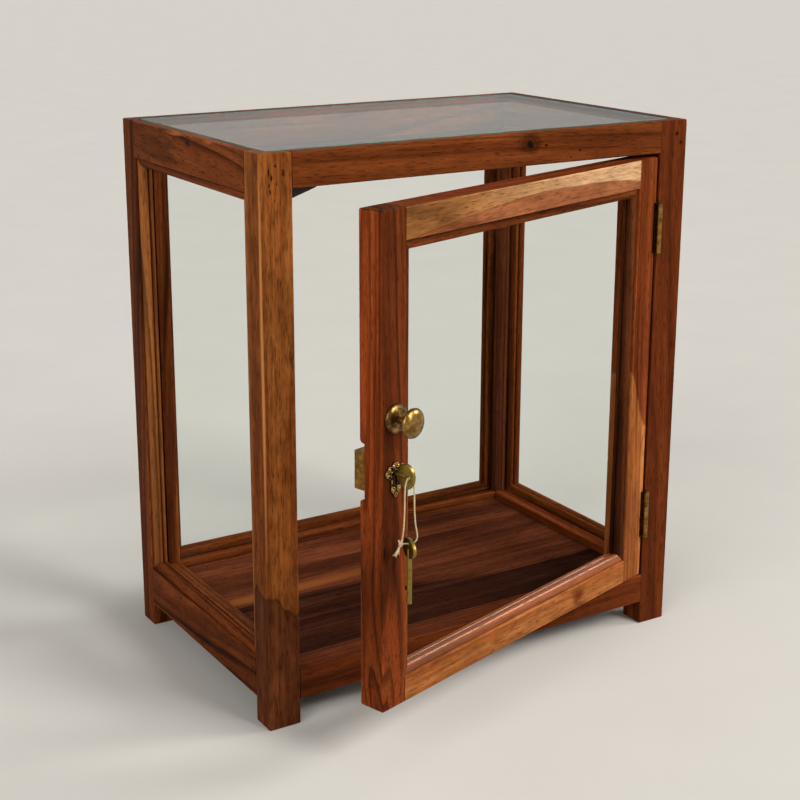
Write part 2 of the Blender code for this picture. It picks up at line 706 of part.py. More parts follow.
def make_hinges(post, stile):
    for name, centre in HINGE_CENTRES.items():
        low = centre - HINGE_LENGTH / 2
        high = low + HINGE_LENGTH
        make_leaf(CARCASS, f"{name}_frame_leaf", 1, low, 0)
        make_leaf(DOOR, f"{name}_door_leaf", -1, low, 1)
        cut(post, leaf_recess(CARCASS, f"{name}_post_recess", 1, low))
        cut(stile, leaf_recess(DOOR, f"{name}_stile_recess", -1, low), stile_notch(f"{name}_stile_notch", low))
        head = high + FIT_GAP
        profile = [
            (0, low),
            (PIN_RADIUS, low),
            (PIN_RADIUS, head),
            (PIN_HEAD_RADIUS, head),
            (PIN_HEAD_RADIUS, head + PIN_HEAD_HEIGHT),
            (0, head + PIN_HEAD_HEIGHT),
        ]
        pin = CARCASS.solid(f"{name}_pin", turned(profile, PIN_SEGMENTS, upright(PIN_X, PIN_Y)), MATERIALS["brass"])
        shade_round(pin)


def make_knob(stile):
    on_axis = out_of_door(KNOB_CENTRE)
    rise = arc(
        (ROSE_CROWN_RADIUS, FIT_GAP + ROSE_RIM),
        (ROSE_RADIUS - ROSE_CROWN_RADIUS, ROSE_RISE),
        0,
        math.pi / 2,
        KNOB_STEPS,
    )
    rose = [(SCREW_BORE_RADIUS, FIT_GAP), (ROSE_RADIUS, FIT_GAP), *rise]
    rose += [(SCREW_BORE_RADIUS, FIT_GAP + ROSE_RIM + ROSE_RISE)]
    shade_round(DOOR.solid("knob_rose", turned(rose, KNOB_SEGMENTS, on_axis), MATERIALS["brass"]))

    neck_end = KNOB_SEAT + KNOB_NECK_LENGTH
    widest = neck_end + KNOB_BACK_DEPTH
    flare = (KNOB_RADIUS - KNOB_NECK_RADIUS, KNOB_BACK_DEPTH)
    profile = [(0, KNOB_SEAT + SCREW_ENGAGEMENT + FIT_GAP)]
    profile += [(SCREW_BORE_RADIUS, KNOB_SEAT + SCREW_ENGAGEMENT + FIT_GAP), (SCREW_BORE_RADIUS, KNOB_SEAT)]
    profile += [(KNOB_NECK_RADIUS, KNOB_SEAT)]
    profile += arc((KNOB_NECK_RADIUS, widest), flare, -math.pi / 2, 0, KNOB_STEPS)
    crown = arc((0, widest), (KNOB_RADIUS, KNOB_FRONT_DEPTH), 0, math.pi / 2, KNOB_STEPS)
    profile += crown[1:-1] + [(0, widest + KNOB_FRONT_DEPTH)]
    shade_round(DOOR.solid("knob", turned(profile, KNOB_SEGMENTS, on_axis), MATERIALS["brass"]))

    under_head = -DOOR_THICKNESS - FIT_GAP
    screw = [
        (0, KNOB_SEAT + SCREW_ENGAGEMENT),
        (SCREW_RADIUS, KNOB_SEAT + SCREW_ENGAGEMENT),
        (SCREW_RADIUS, under_head),
        (SCREW_HEAD_RADIUS, under_head),
        (SCREW_HEAD_RADIUS, under_head - SCREW_HEAD_RIM),
        (0, under_head - SCREW_HEAD_RIM - SCREW_HEAD_CROWN),
    ]
    shade_round(DOOR.solid("knob_screw", turned(screw, PIN_SEGMENTS, on_axis), MATERIALS["brass"]))
    bore = cylinder(SCREW_BORE_RADIUS, -DOOR_THICKNESS - CUT_OVERRUN, CUT_OVERRUN, PIN_SEGMENTS, on_axis)
    cut(stile, DOOR.helper("knob_screw_bore", bore))


def make_keyhole_cutters(name, near, far):
    """The round part and the slot of a keyhole, between two depths in front of the door's face."""
    on_axis = out_of_door(KEY_CENTRE)
    round_part = cylinder(KEYHOLE_RADIUS, near, far, PIN_SEGMENTS, on_axis)
    half = KEYHOLE_SLOT_WIDTH / 2
    slot = [(-half, -KEYHOLE_SLOT_DROP), (half, -KEYHOLE_SLOT_DROP), (half, 0), (-half, 0)]
    return DOOR.helper(f"{name}_round", round_part), DOOR.helper(f"{name}_slot", prism(slot, near, far, on_axis))


def plate_outline():
    """A lobed oval, hung so that the keyhole lies in its upper half."""
    outline = []
    for k in range(PLATE_STEPS):
        angle = math.tau * k / PLATE_STEPS
        lobe = PLATE_LOBE_DEPTH * (math.cos(PLATE_LOBES * angle) - 1) / 2
        u = (PLATE_WIDTH / 2 + lobe) * math.cos(angle)
        v = (PLATE_HEIGHT / 2 + lobe) * math.sin(angle) - PLATE_DROP
        outline.append((u, v))
    return outline


def notch_outline(half_height):
    """The lock's notch seen from the door's free edge: depth behind the front face, height above the key's axis."""
    radius = LOCK_NOTCH_DEPTH - LOCK_NOTCH_WALL
    round_centre = (LOCK_SEAT + LOCK_NOTCH_WALL, half_height + radius)
    upper = [(LOCK_SEAT, half_height)]
    upper += arc(round_centre, (radius, radius), -math.pi / 2, 0, LOCK_NOTCH_STEPS)
    upper += [(DOOR_THICKNESS + CUT_OVERRUN, half_height + radius)]
    return upper + [(depth, -height) for depth, height in reversed(upper)]


def make_lock(stile):
    on_axis = out_of_door(KEY_CENTRE)
    plate = prism(plate_outline(), FIT_GAP, FIT_GAP + PLATE_THICKNESS, on_axis)
    escutcheon = DOOR.solid("escutcheon", plate, MATERIALS["brass"])
    keyhole = make_keyhole_cutters("keyhole", -LOCK_CASE_FRONT, PLATE_THICKNESS + CUT_OVERRUN)
    cut(escutcheon, *keyhole)

    low = KEY_AXIS_ABOVE_FLOOR - LOCK_HALF_HEIGHT
    high = KEY_AXIS_ABOVE_FLOOR + LOCK_HALF_HEIGHT
    outline = notch_outline(LOCK_HALF_HEIGHT + LOCK_NOTCH_MARGIN)
    notch_sides = (DOOR_LEFT - CUT_OVERRUN, LOCK_CASE_RIGHT + FIT_GAP)
    notch = prism(outline, *notch_sides, lambda u, v, x: (x, DOOR_FRONT + u, KEY_AXIS_ABOVE_FLOOR + v))
    cut(stile, DOOR.helper("lock_notch", notch), *keyhole)

    cap_low = (LOCK_CASE_LEFT, DOOR_FRONT + LOCK_CAP_FRONT, low)
    cap_high = (LOCK_CASE_RIGHT, DOOR_FRONT + LOCK_CAP_FRONT + LOCK_CAP_THICKNESS, high)
    cut(DOOR.solid("lock_cap", box(cap_low, cap_high), MATERIALS["brass"]), *keyhole)

    case_low = Vector((LOCK_CASE_LEFT, DOOR_FRONT + LOCK_CASE_FRONT, low))
    case_high = Vector((LOCK_CASE_RIGHT, DOOR_FRONT + LOCK_CASE_REAR, high))
    case = DOOR.solid("lock_case", box(case_low, case_high), MATERIALS["brass"])
    wall = Vector((LOCK_WALL, LOCK_WALL, LOCK_WALL))
    hollow_low = case_low + wall
    hollow_low.y = case_low.y - CUT_OVERRUN
    hollow = DOOR.helper("lock_hollow", box(hollow_low, case_high - wall))
    tip_bore = cylinder(STEM_BORE_RADIUS, -LOCK_CASE_REAR - CUT_OVERRUN, -LOCK_CASE_FRONT, PIN_SEGMENTS, on_axis)
    cut(case, hollow, DOOR.helper("lock_tip_bore", tip_bore))

    bolt_low = Vector((LOCK_CASE_LEFT, DOOR_FRONT + BOLT_FRONT, KEY_AXIS_ABOVE_FLOOR + BOLT_LOW))
    bolt_high = Vector((LOCK_CASE_LEFT + BOLT_LENGTH, DOOR_FRONT + BOLT_REAR, KEY_AXIS_ABOVE_FLOOR + BOLT_HIGH))
    room = Vector((FIT_GAP, FIT_GAP, FIT_GAP))
    mouth_high = bolt_high + room
    mouth_high.x = LOCK_CASE_LEFT + LOCK_WALL + CUT_OVERRUN
    mouth_low = bolt_low - room
    mouth_low.x = LOCK_CASE_LEFT - CUT_OVERRUN
    cut(case, DOOR.helper("lock_mouth", box(mouth_low, mouth_high)))
    DOOR.solid("lock_bolt", box(bolt_low, bolt_high), MATERIALS["steel"])


def make_key_mesh():
    """A flat oval bow with a string hole, a round stem and a small bit, hanging from its hole at the origin."""
    at_origin = Maker(None, (0, 0, 0))
    bow_middle = KEY_HOLE_TO_RIM - KEY_BOW_LENGTH / 2
    outline = arc((0, bow_middle), (KEY_BOW_WIDTH / 2, KEY_BOW_LENGTH / 2), 0, math.tau, KEY_BOW_STEPS)[:-1]
    half = KEY_BOW_THICKNESS / 2
    bow_shape = prism(outline, -half, half, lambda u, v, depth: (u, depth, v))
    rims = [edge for edge in bow_shape.edges if abs(edge.verts[0].co.y - edge.verts[1].co.y) < half]
    bmesh.ops.bevel(bow_shape, geom=rims, offset=KEY_BOW_ARRIS, segments=1, profile=0.5, affect="EDGES")
    bow = at_origin.helper("key_bow", bow_shape)
    stem = cylinder(KEY_STEM_RADIUS, -KEY_TIP, bow_middle, KEY_STEM_SEGMENTS, upright(0, 0))
    bit_low = (0, -KEY_BIT_THICKNESS / 2, -KEY_BIT_END)
    bit_high = (KEY_BIT_REACH, KEY_BIT_THICKNESS / 2, -KEY_BIT_TOP)
    combine(bow, "UNION", at_origin.helper("key_stem", stem), at_origin.helper("key_bit", box(bit_low, bit_high)))
    thickness = KEY_BOW_THICKNESS / 2 + CUT_OVERRUN
    hole = cylinder(KEY_HOLE_RADIUS, -thickness, thickness, PIN_SEGMENTS, lambda u, v, height: (u, height, v))
    cut(bow, at_origin.helper("key_hole", hole))
    bpy.context.view_layer.update()
    graph = bpy.context.evaluated_depsgraph_get()
    mesh = bpy.data.meshes.new_from_object(bow.evaluated_get(graph))
    mesh.name = "key_mesh"
    return mesh


def place_key(name, mesh, hole, turn):
    """A key with its string hole at a place given in the cabinet's frame. turn is its rotation there."""
    key = DOOR.link(bpy.data.objects.new(name, mesh))
    key.matrix_basis = Matrix.Translation(Vector(hole) + DOOR.offset) @ turn.to_4x4()
    return key


def make_keys():
    mesh = make_key_mesh()
    mesh.shade_smooth()
    mesh.set_sharp_from_angle(angle=math.radians(35))
    hole = KEY_CENTRE + Vector((0, -KEY_HOLE_PROUD, 0))
    stem_into_door = Matrix(((0, 1, 0), (0, 0, -1), (-1, 0, 0)))
    place_key("key", mesh, hole, stem_into_door)
    spare_hole = hole + Vector((0, 0, -SPARE_KEY_DROP))
    place_key("spare_key", mesh, spare_hole, Matrix.Rotation(math.pi / 2 - SPARE_KEY_TWIST, 3, "Z"))
    return hole


def smooth_route(points, step):
    """Points about one step apart on a smooth curve through the given points."""
    padded = [2 * points[0] - points[1], *points, 2 * points[-1] - points[-2]]
    fine = []
    for before, start, end, after in zip(padded, padded[1:], padded[2:], padded[3:]):
        count = max(1, round((end - start).length / step))
        for k in range(count):
            t = k / count
            bend = (2 * before - 5 * start + 4 * end - after) * t**2
            twist = (3 * start - before - 3 * end + after) * t**3
            fine.append((2 * start + (end - before) * t + bend + twist) / 2)
    fine.append(points[-1])
    return fine


def make_string(hole):
    """The string's route is given from the key's hole: towards the hinges, out of the door, and up."""
    points = [hole + Vector((across, -out, up)) for across, out, up in STRING_ROUTE]
    route = smooth_route(points, STRING_STEP)
    curve = bpy.data.curves.new("key_string", "CURVE")
    curve.dimensions = "3D"
    curve.bevel_depth = STRING_DIAMETER / 2
    curve.bevel_resolution = STRING_BEVEL_RESOLUTION
    curve.use_fill_caps = True
    spline = curve.splines.new("POLY")
    spline.points.add(len(route) - 1)
    for point, place in zip(spline.points, route):
        point.co = (*place, 1.0)
    curve.materials.append(MATERIALS["string"])
    DOOR.link(bpy.data.objects.new("key_string", curve))


def centre_on_base(root, left_out):
    """Moves the root so that the middle of the object's box, without the pieces on the string, is the origin."""
    bpy.context.view_layer.update()
    graph = bpy.context.evaluated_depsgraph_get()
    places = []
    for obj in SCENE.objects:
        if obj.type != "MESH" or obj.hide_render or obj.name in left_out:
            continue
        evaluated = obj.evaluated_get(graph)
        places += [evaluated.matrix_world @ vertex.co for vertex in evaluated.data.vertices]
    low = Vector(map(min, *places))
    high = Vector(map(max, *places))
    middle = (low + high) / 2
    root.location = (-middle.x, -middle.y, -low.z)
    bpy.context.view_layer.update()


clear_scene()

MATERIALS = {
    "wood": make_material("wood", (0.26, 0.095, 0.035), 0.35),
    "glass": make_material("glass", (0.80, 0.90, 0.87), 0.03, alpha=0.25),
    "brass": make_material("brass", (0.52, 0.38, 0.16), 0.32, metallic=1.0),
    "steel": make_material("steel", (0.45, 0.44, 0.42), 0.35, metallic=1.0),
    "dark": make_material("dark", (0.02, 0.018, 0.016), 0.7),
    "string": make_material("string", (0.75, 0.66, 0.48), 0.9),
    "helper": make_material("helper", (0.5, 0.5, 0.5), 0.5),
}

ROOT = make_empty("cabinet_root", None, (0, 0, 0))
DOOR_PIVOT = make_empty("door_pivot", ROOT, (PIN_X, PIN_Y, 0))
DOOR_PIVOT.rotation_euler = (0, 0, DOOR_OPEN_ANGLE)
CARCASS = Maker(ROOT, (0, 0, 0))
DOOR = Maker(DOOR_PIVOT, (PIN_X, PIN_Y, 0))

POSTS = make_carcass()
make_door_stop()
STILES = make_door_frame()
make_hinges(POSTS["front", "right"], STILES["hinge"])
make_knob(STILES["lock"])
make_lock(STILES["lock"])
make_string(make_keys())
centre_on_base(ROOT, ("spare_key", "key_string"))
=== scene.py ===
"""The looks of the glazed display cabinet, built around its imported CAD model."""

import json
import random
from collections import namedtuple
from functools import partialmethod
from math import asin, atan2, cos, pi, radians, sin, tau

import bmesh
import bpy
from mathutils import Color, Matrix, Vector


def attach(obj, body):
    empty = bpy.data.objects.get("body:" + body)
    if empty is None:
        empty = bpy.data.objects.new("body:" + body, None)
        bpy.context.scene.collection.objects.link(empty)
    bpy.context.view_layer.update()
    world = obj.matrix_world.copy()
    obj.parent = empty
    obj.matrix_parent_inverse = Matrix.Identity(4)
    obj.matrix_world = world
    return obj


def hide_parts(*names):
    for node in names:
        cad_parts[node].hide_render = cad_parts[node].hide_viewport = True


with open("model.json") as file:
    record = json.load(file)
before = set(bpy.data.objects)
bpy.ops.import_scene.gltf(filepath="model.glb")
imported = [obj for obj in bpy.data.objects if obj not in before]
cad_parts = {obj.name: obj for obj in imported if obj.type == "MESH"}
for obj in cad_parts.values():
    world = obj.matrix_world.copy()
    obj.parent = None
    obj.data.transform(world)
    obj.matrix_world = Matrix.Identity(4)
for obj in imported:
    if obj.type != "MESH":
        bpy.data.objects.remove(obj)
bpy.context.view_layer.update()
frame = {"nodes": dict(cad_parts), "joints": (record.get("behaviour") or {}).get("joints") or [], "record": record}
NODES = frame["nodes"]
BODY_NODES = frame["record"]["behaviour"]["bodies"]
JOINTS = {joint["name"]: joint for joint in frame["joints"]}
SCENE = bpy.context.scene
UP = Vector((0, 0, 1))

# The door's own directions: out of its face, towards its hinges, up
OUT = Vector(JOINTS["key_turn"]["axis"])
ACROSS = UP.cross(OUT)
DOOR_AXES = Matrix((ACROSS, UP, OUT)).transposed()
KEY_HOLE = Vector(JOINTS["key_turn"]["pos_m"])
KEY_HOLE_PROUD = 0.019
KEY_ON_FACE = KEY_HOLE - OUT * KEY_HOLE_PROUD
DOOR_TURN = atan2(ACROSS.y, ACROSS.x)
SCREEN_WHITE = 255


def from_key_hole(across, out, up):
    """A place given from the lock key's string hole, along the door's own directions."""
    return KEY_HOLE + ACROSS * across + OUT * out + UP * up


def on_door_face(across, up):
    """A place on the door's front face, given from the key's axis."""
    return KEY_ON_FACE + ACROSS * across + UP * up


def srgb(*levels):
    """A screen colour, from 0 to 255, as the linear colour that a shader takes."""
    shown = Color([level / SCREEN_WHITE for level in levels])
    return (*shown.from_srgb_to_scene_linear(), 1.0)


# A colour mix's sockets, and the vector operations that give one number
MIX_INPUTS = (0, 6, 7)
MIX_RESULT = 2
SCALAR_RESULTS = ("LENGTH", "DOT_PRODUCT")
# A noise's middle level, and levels between which most of it lies
NOISE_MIDDLE = 0.5
NOISE_SPREAD = (0.3, 0.7)
NOISE_STEP = (0.35, 0.65)


class Graph:
    """Short ways to add nodes to one tree and to link them."""

    def __init__(self, tree):
        self.tree = tree

    def node(self, kind, **settings):
        node = self.tree.nodes.new(kind)
        for name, value in settings.items():
            setattr(node, name, value)
        return node

    def feed(self, socket, value):
        """Links an output to a socket, or sets the socket to a plain value."""
        if isinstance(value, bpy.types.NodeSocket):
            self.tree.links.new(value, socket)
        else:
            socket.default_value = value

    def fill(self, node, **values):
        """Feeds a node's inputs by name, with _ for a space."""
        for name, value in values.items():
            self.feed(node.inputs[name.replace("_", " ")], value)
        return node

    def fed(self, kind, *values, **settings):
        """A new node with its first inputs fed in order."""
        node = self.node(kind, **settings)
        for socket, value in zip(node.inputs, values):
            self.feed(socket, value)
        return node

    def math(self, operation, *values, clamp=False):
        return self.fed("ShaderNodeMath", *values, operation=operation, use_clamp=clamp).outputs[0]

    plus = partialmethod(math, "ADD")
    minus = partialmethod(math, "SUBTRACT")
    times = partialmethod(math, "MULTIPLY")

    def vector(self, operation, *values):
        node = self.fed("ShaderNodeVectorMath", *values, operation=operation)
        return node.outputs["Value" if operation in SCALAR_RESULTS else "Vector"]

    def brighter(self, colour, factor):
        node = self.node("ShaderNodeVectorMath", operation="SCALE")
        return self.fill(node, Vector=colour, Scale=factor).outputs["Vector"]

    def noise(self, place, grain=1.0, detail=2.0, roughness=0.5, output="Fac"):
        """Noise with so many cells a metre, along all axes or along each."""
        cells = grain if isinstance(grain, tuple) else (grain,) * 3
        node = self.node("ShaderNodeTexNoise")
        vector = self.vector("MULTIPLY", place, cells)
        self.fill(node, Vector=vector, Scale=1.0, Detail=detail, Roughness=roughness)
        return node.outputs[output]

    def strayed(self, place, grain, reach):
        """A place moved about by noise, up to half a reach each way."""
        stray = self.vector("SUBTRACT", self.noise(place, grain, output="Color"), (NOISE_MIDDLE,) * 3)
        return self.vector("ADD", place, self.vector("MULTIPLY", stray, reach))

    def ranged(self, value, low, high, to_low=0.0, to_high=1.0, kind="SMOOTHSTEP"):
        """A value between two levels turned into one between two others."""
        node = self.node("ShaderNodeMapRange", interpolation_type=kind)
        self.fill(node, Value=value, From_Min=low, From_Max=high, To_Min=to_low, To_Max=to_high)
        return node.outputs[0]

    evenly = partialmethod(ranged, kind="LINEAR")

    def mix(self, factor, first, second):
        node = self.node("ShaderNodeMix", data_type="RGBA")
        for socket, value in zip(MIX_INPUTS, (factor, first, second)):
            self.feed(node.inputs[socket], value)
        return node.outputs[MIX_RESULT]

    def split(self, vector):
        return tuple(self.fed("ShaderNodeSeparateXYZ", vector).outputs)

    def bump(self, height, strength, distance):
        node = self.node("ShaderNodeBump")
        return self.fill(node, Height=height, Strength=strength, Distance=distance).outputs[0]

    def mapped(self, place, turn, shift):
        node = self.node("ShaderNodeMapping")
        return self.fill(node, Vector=place, Rotation=turn.to_euler(), Location=shift).outputs[0]

    def object_place(self):
        return self.node("ShaderNodeTexCoord").outputs["Object"]


def bare_graph(owner):
    """The emptied node tree of a material or a world."""
    owner.use_nodes = True
    owner.node_tree.nodes.clear()
    return Graph(owner.node_tree)


def new_material(name):
    """A material with one plain shader: its graph, the shader and itself."""
    material = bpy.data.materials.new(name)
    g = bare_graph(material)
    shader = g.node("ShaderNodeBsdfPrincipled")
    g.fill(g.node("ShaderNodeOutputMaterial"), Surface=shader.outputs[0])
    return g, shader, material


def link_object(name, data):
    obj = bpy.data.objects.new(name, data)
    SCENE.collection.objects.link(obj)
    return obj


# Timber: one group for the figure, and a material for each piece that turns and shifts it
TIMBER_SOCKETS = {
    "INPUT": {"Vector": ["Vector"], "Color": ["Main", "Pale", "Streak"], "Float": ["Figure", "Mottle"]},
    "OUTPUT": {"Color": ["Color"], "Float": ["Roughness", "Height"]},
}
# Noises: cells a metre along, across and through the grain
BEND_GRAIN = (2.4, 11.0, 11.0)
SWAY_GRAIN = (1.7, 26.0, 26.0)
FIBRE_GRAIN = (9.0, 480.0, 480.0)
PORE_GRAIN = (75.0, 900.0, 900.0)
BLOTCH_GRAIN = (6.0, 22.0, 22.0)
PATCH_GRAIN = (34.0, 120.0, 120.0)
# Rings and bands, with the levels at which they start and end
RING_WARP = (0, 0.016, 0.016)
RINGS_PER_METRE = 170.0
RING_SWAY = 2.6
RING_CONTRAST = 1.6
RING_DARKENS = (0.30, 0.86)
RING_ENDS = (1.0, 0.90)
RING_SHARE = 0.75
BAND_DENSITY = 70.0
ALONG_DENSITY = 1.6
PALE_BANDS = (0.42, 0.68)
DARK_BANDS = (0.46, 0.30, 0.0, 0.9)
PORE_LEVELS = (0.57, 0.67)
PORE_SHARE = 0.62
# The light, roughness and height that noises turn into
FIBRE_LIGHT = (0.25, 0.75, 0.76, 1.24)
BLOTCH_LIGHT = (0.25, 0.75, 0.80, 1.20)
PATCH_LIGHT = (0.30, 0.70, -0.42, 0.42)
FIBRE_ROUGHNESS = (0.34, 0.46)
PORE_ROUGHNESS = 0.18
FIBRE_RISE = 0.5
PORE_DEPTH = 0.8


def timber_group():
    """Rings, bands, fibres, pores and patches of a solid timber, with the grain along X."""
    tree = bpy.data.node_groups.new("timber", "ShaderNodeTree")
    for way, kinds in TIMBER_SOCKETS.items():
        for kind, names in kinds.items():
            for name in names:
                tree.interface.new_socket(name, in_out=way, socket_type=f"NodeSocket{kind}")
    g = Graph(tree)
    given = g.node("NodeGroupInput").outputs
    place = given["Vector"]

    # Distance from the tree's heart, bent by slow noise
    along, side, depth = g.split(g.strayed(place, BEND_GRAIN, RING_WARP))
    radius = g.math("SQRT", g.plus(g.times(side, side), g.times(depth, depth)))

    # Rings: each has a tone of its own and a thin dark edge of its own strength
    sway = g.noise(place, SWAY_GRAIN, roughness=0.45)
    phase = g.plus(g.times(radius, RINGS_PER_METRE), g.times(sway, RING_SWAY))
    tone = g.fill(g.node("ShaderNodeTexWhiteNoise", noise_dimensions="1D"), W=g.math("FLOOR", phase))
    ring_tone = g.math("POWER", tone.outputs["Value"], RING_CONTRAST)
    within = g.math("FRACT", phase)
    edge = g.times(g.ranged(within, *RING_DARKENS), g.ranged(within, *RING_ENDS))
    dark_edge = g.times(edge, ring_tone)

    # Broad dark bands that come and go along the length, fibres, pores, blotches and small patches
    band_place = g.fed("ShaderNodeCombineXYZ", g.times(radius, BAND_DENSITY), g.times(along, ALONG_DENSITY))
    bands = g.noise(band_place.outputs[0], detail=3.0, roughness=0.6)
    fibres = g.noise(place, FIBRE_GRAIN, detail=3.0, roughness=0.65)
    pores = g.ranged(g.noise(place, PORE_GRAIN, detail=1.0), *PORE_LEVELS)
    blotch = g.noise(place, BLOTCH_GRAIN, detail=3.0)
    patches = g.noise(place, PATCH_GRAIN, detail=4.0, roughness=0.65)

    base = g.mix(g.ranged(bands, *PALE_BANDS), given["Main"], given["Pale"])
    ring_share = g.times(g.times(dark_edge, RING_SHARE), given["Figure"], clamp=True)
    base = g.mix(ring_share, base, given["Streak"])
    dark_band = g.times(g.ranged(bands, *DARK_BANDS), given["Figure"], clamp=True)
    base = g.mix(dark_band, base, given["Streak"])
    base = g.mix(g.times(pores, PORE_SHARE), base, given["Streak"])
    light = g.times(g.evenly(fibres, *FIBRE_LIGHT), g.evenly(blotch, *BLOTCH_LIGHT))
    patch = g.times(g.evenly(patches, *PATCH_LIGHT), given["Mottle"])
    light = g.times(light, g.plus(patch, 1.0))
    sheen = g.evenly(fibres, *NOISE_SPREAD, *FIBRE_ROUGHNESS)
    g.fill(
        g.node("NodeGroupOutput"),
        Color=g.brighter(base, light),
        Roughness=g.plus(sheen, g.times(pores, PORE_ROUGHNESS)),
        Height=g.minus(g.times(fibres, FIBRE_RISE), g.times(pores, PORE_DEPTH)),
    )
    return tree


TIMBER = timber_group()
# Main tone, pale tone and dark streaks of each kind of cut, as they show on a screen
TONES = {
    "red": ((106, 47, 19), (132, 64, 28), (44, 19, 9)),
    "deep": ((88, 39, 16), (110, 53, 23), (40, 17, 8)),
    "heart": ((94, 44, 18), (124, 64, 28), (35, 16, 8)),
    "streaky": ((100, 48, 19), (136, 71, 31), (36, 17, 8)),
    # A dark tone, used as painted shade on the door's right bead
    "dark": ((68, 33, 16), (92, 48, 24), (26, 13, 8)),
    "golden": ((120, 64, 27), (150, 90, 42), (62, 31, 14)),
    "foot": ((80, 40, 21), (102, 55, 29), (34, 16, 10)),
    "tan": ((144, 82, 40), (174, 110, 60), (92, 47, 20)),
    "straw": ((128, 82, 43), (156, 107, 63), (80, 46, 22)),
    # A pale tone used as a painted sheen, where light glances off a face
    "painted_sheen": ((182, 138, 98), (204, 164, 122), (134, 90, 54)),
    "rose": ((126, 70, 41), (152, 94, 60), (80, 41, 22)),
    "flame": ((98, 47, 20), (116, 60, 27), (52, 23, 10)),
    # Tone of the lock stile's free edge face, painted lighter than its front as painted light on that face
    "edge": ((144, 65, 28), (166, 81, 37), (84, 36, 16)),
    "russet": ((122, 56, 23), (148, 74, 32), (64, 28, 12)),
    "amber": ((130, 73, 35), (158, 98, 52), (84, 42, 18)),
    "tawny": ((110, 56, 22), (138, 78, 34), (54, 26, 11)),
    "board": ((55, 29, 20), (80, 43, 28), (23, 12, 9)),
    "red_board": ((88, 44, 27), (114, 60, 37), (42, 20, 13)),
}
PALETTES = {name: [srgb(*tone) for tone in tones] for name, tones in TONES.items()}
DARK_MARK = srgb(36, 17, 8)
RUSTY_MARK = srgb(96, 44, 17)
WORN_MARK = srgb(164, 94, 48)
PALE_STREAK = srgb(138, 78, 40)
# Tone of a painted highlight along the front left post's left arris
ARRIS_HIGHLIGHT_TONE = srgb(188, 124, 70)
# The turns that lay a piece's length along X, for a piece along X, Y or Z
LENGTHWISE = (
    Matrix.Identity(3),
    Matrix(((0, 1, 0), (-1, 0, 0), (0, 0, 1))),
    Matrix(((0, 0, 1), (0, 1, 0), (-1, 0, 0))),
)


def local_places(node):
    """The turn from the world to a piece's own axes, and its vertices along them."""
    turn = Matrix.Rotation(-DOOR_TURN, 3, "Z") if node in BODY_NODES["door"] else Matrix.Identity(3)
    return turn, [turn @ vertex.co for vertex in NODES[node].data.vertices]


def local_box(node):
    """The turn from the world to a piece's own axes, and its box along them."""
    turn, places = local_places(node)
    return turn, Vector(map(min, *places)), Vector(map(max, *places))


def on_front(node, across, height):
    """A place on the front face of a carcass piece, given from its middle and from the floor."""
    _, low, high = local_box(node)
    return Vector(((low.x + high.x) / 2 + across, low.y, height))


def on_left(node, y, height):
    """A place on the left face of a carcass piece."""
    _, low, _ = local_box(node)
    return Vector((low.x, y, height))


# Below a height the lock stile's grain swings aside: the way it goes and how fast
SWING_TOP = 0.215
SWING_WAY = (OUT - ACROSS).normalized()
SWING_PULL = 1.1
# A cut's palette, the strength of its rings, its patchiness, its gloss, its grain's slant in degrees,
# how far the tree's heart lies from its middle (none: by chance) and whether its grain swings
CUT_DEFAULTS = (1.0, 0.35, 0.01, 0.0, None, False)
Cut = namedtuple("Cut", "palette figure mottle gloss slant heart swings", defaults=CUT_DEFAULTS)
BEAD_GLOSS = 0.15
BOTTOM_BEAD_GLOSS = 0.85
BOARD_CUT = Cut("board", 0.45, 0.4, 0.0)
RED_BOARD_CUT = Cut("red_board", 0.45, 0.4, 0.0)
PLAIN_CUT = Cut("heart", 0.9)
CUTS = {
    "post_front_left": Cut("golden", 0.5, 1.0),
    "post_front_right": Cut("deep", 0.75),
    "post_back_left": Cut("heart"),
    "post_back_right": Cut("foot"),
    "top_rail_front": Cut("flame", 0.55),
    "top_rail_back": Cut("heart"),
    "top_rail_left": Cut("streaky", 1.8, slant=4.5),
    "top_rail_right": Cut("red"),
    "bottom_rail_front": Cut("deep", 0.8),
    "bottom_rail_back": Cut("heart"),
    "bottom_rail_left": Cut("heart", 1.3, 0.6, slant=-4.0),
    "bottom_rail_right": Cut("red"),
    "door_stile_lock": Cut("deep", 1.1, slant=4.0, heart=0.012, swings=True),
    "door_stile_hinge": Cut("red", 0.8),
    "door_rail_top": Cut("straw", 0.7, 0.6),
    "door_rail_bottom": Cut("tan", 0.5, 0.65),
    "base_board_1": BOARD_CUT,
    "base_board_2": BOARD_CUT,
    "base_board_3": RED_BOARD_CUT,
    "base_board_4": RED_BOARD_CUT,
    "left_bead_front": Cut("golden", 1.0, 0.3, BEAD_GLOSS),
    "left_bead_back": Cut("golden", 1.0, 0.3, BEAD_GLOSS),
    "door_bead_bottom": Cut("russet", 0.7, 0.3, BOTTOM_BEAD_GLOSS),
    # The right bead's dark tone is painted shade: that side of the bead lies in shade
    "door_bead_right": Cut("dark", 0.9, 0.3),
}

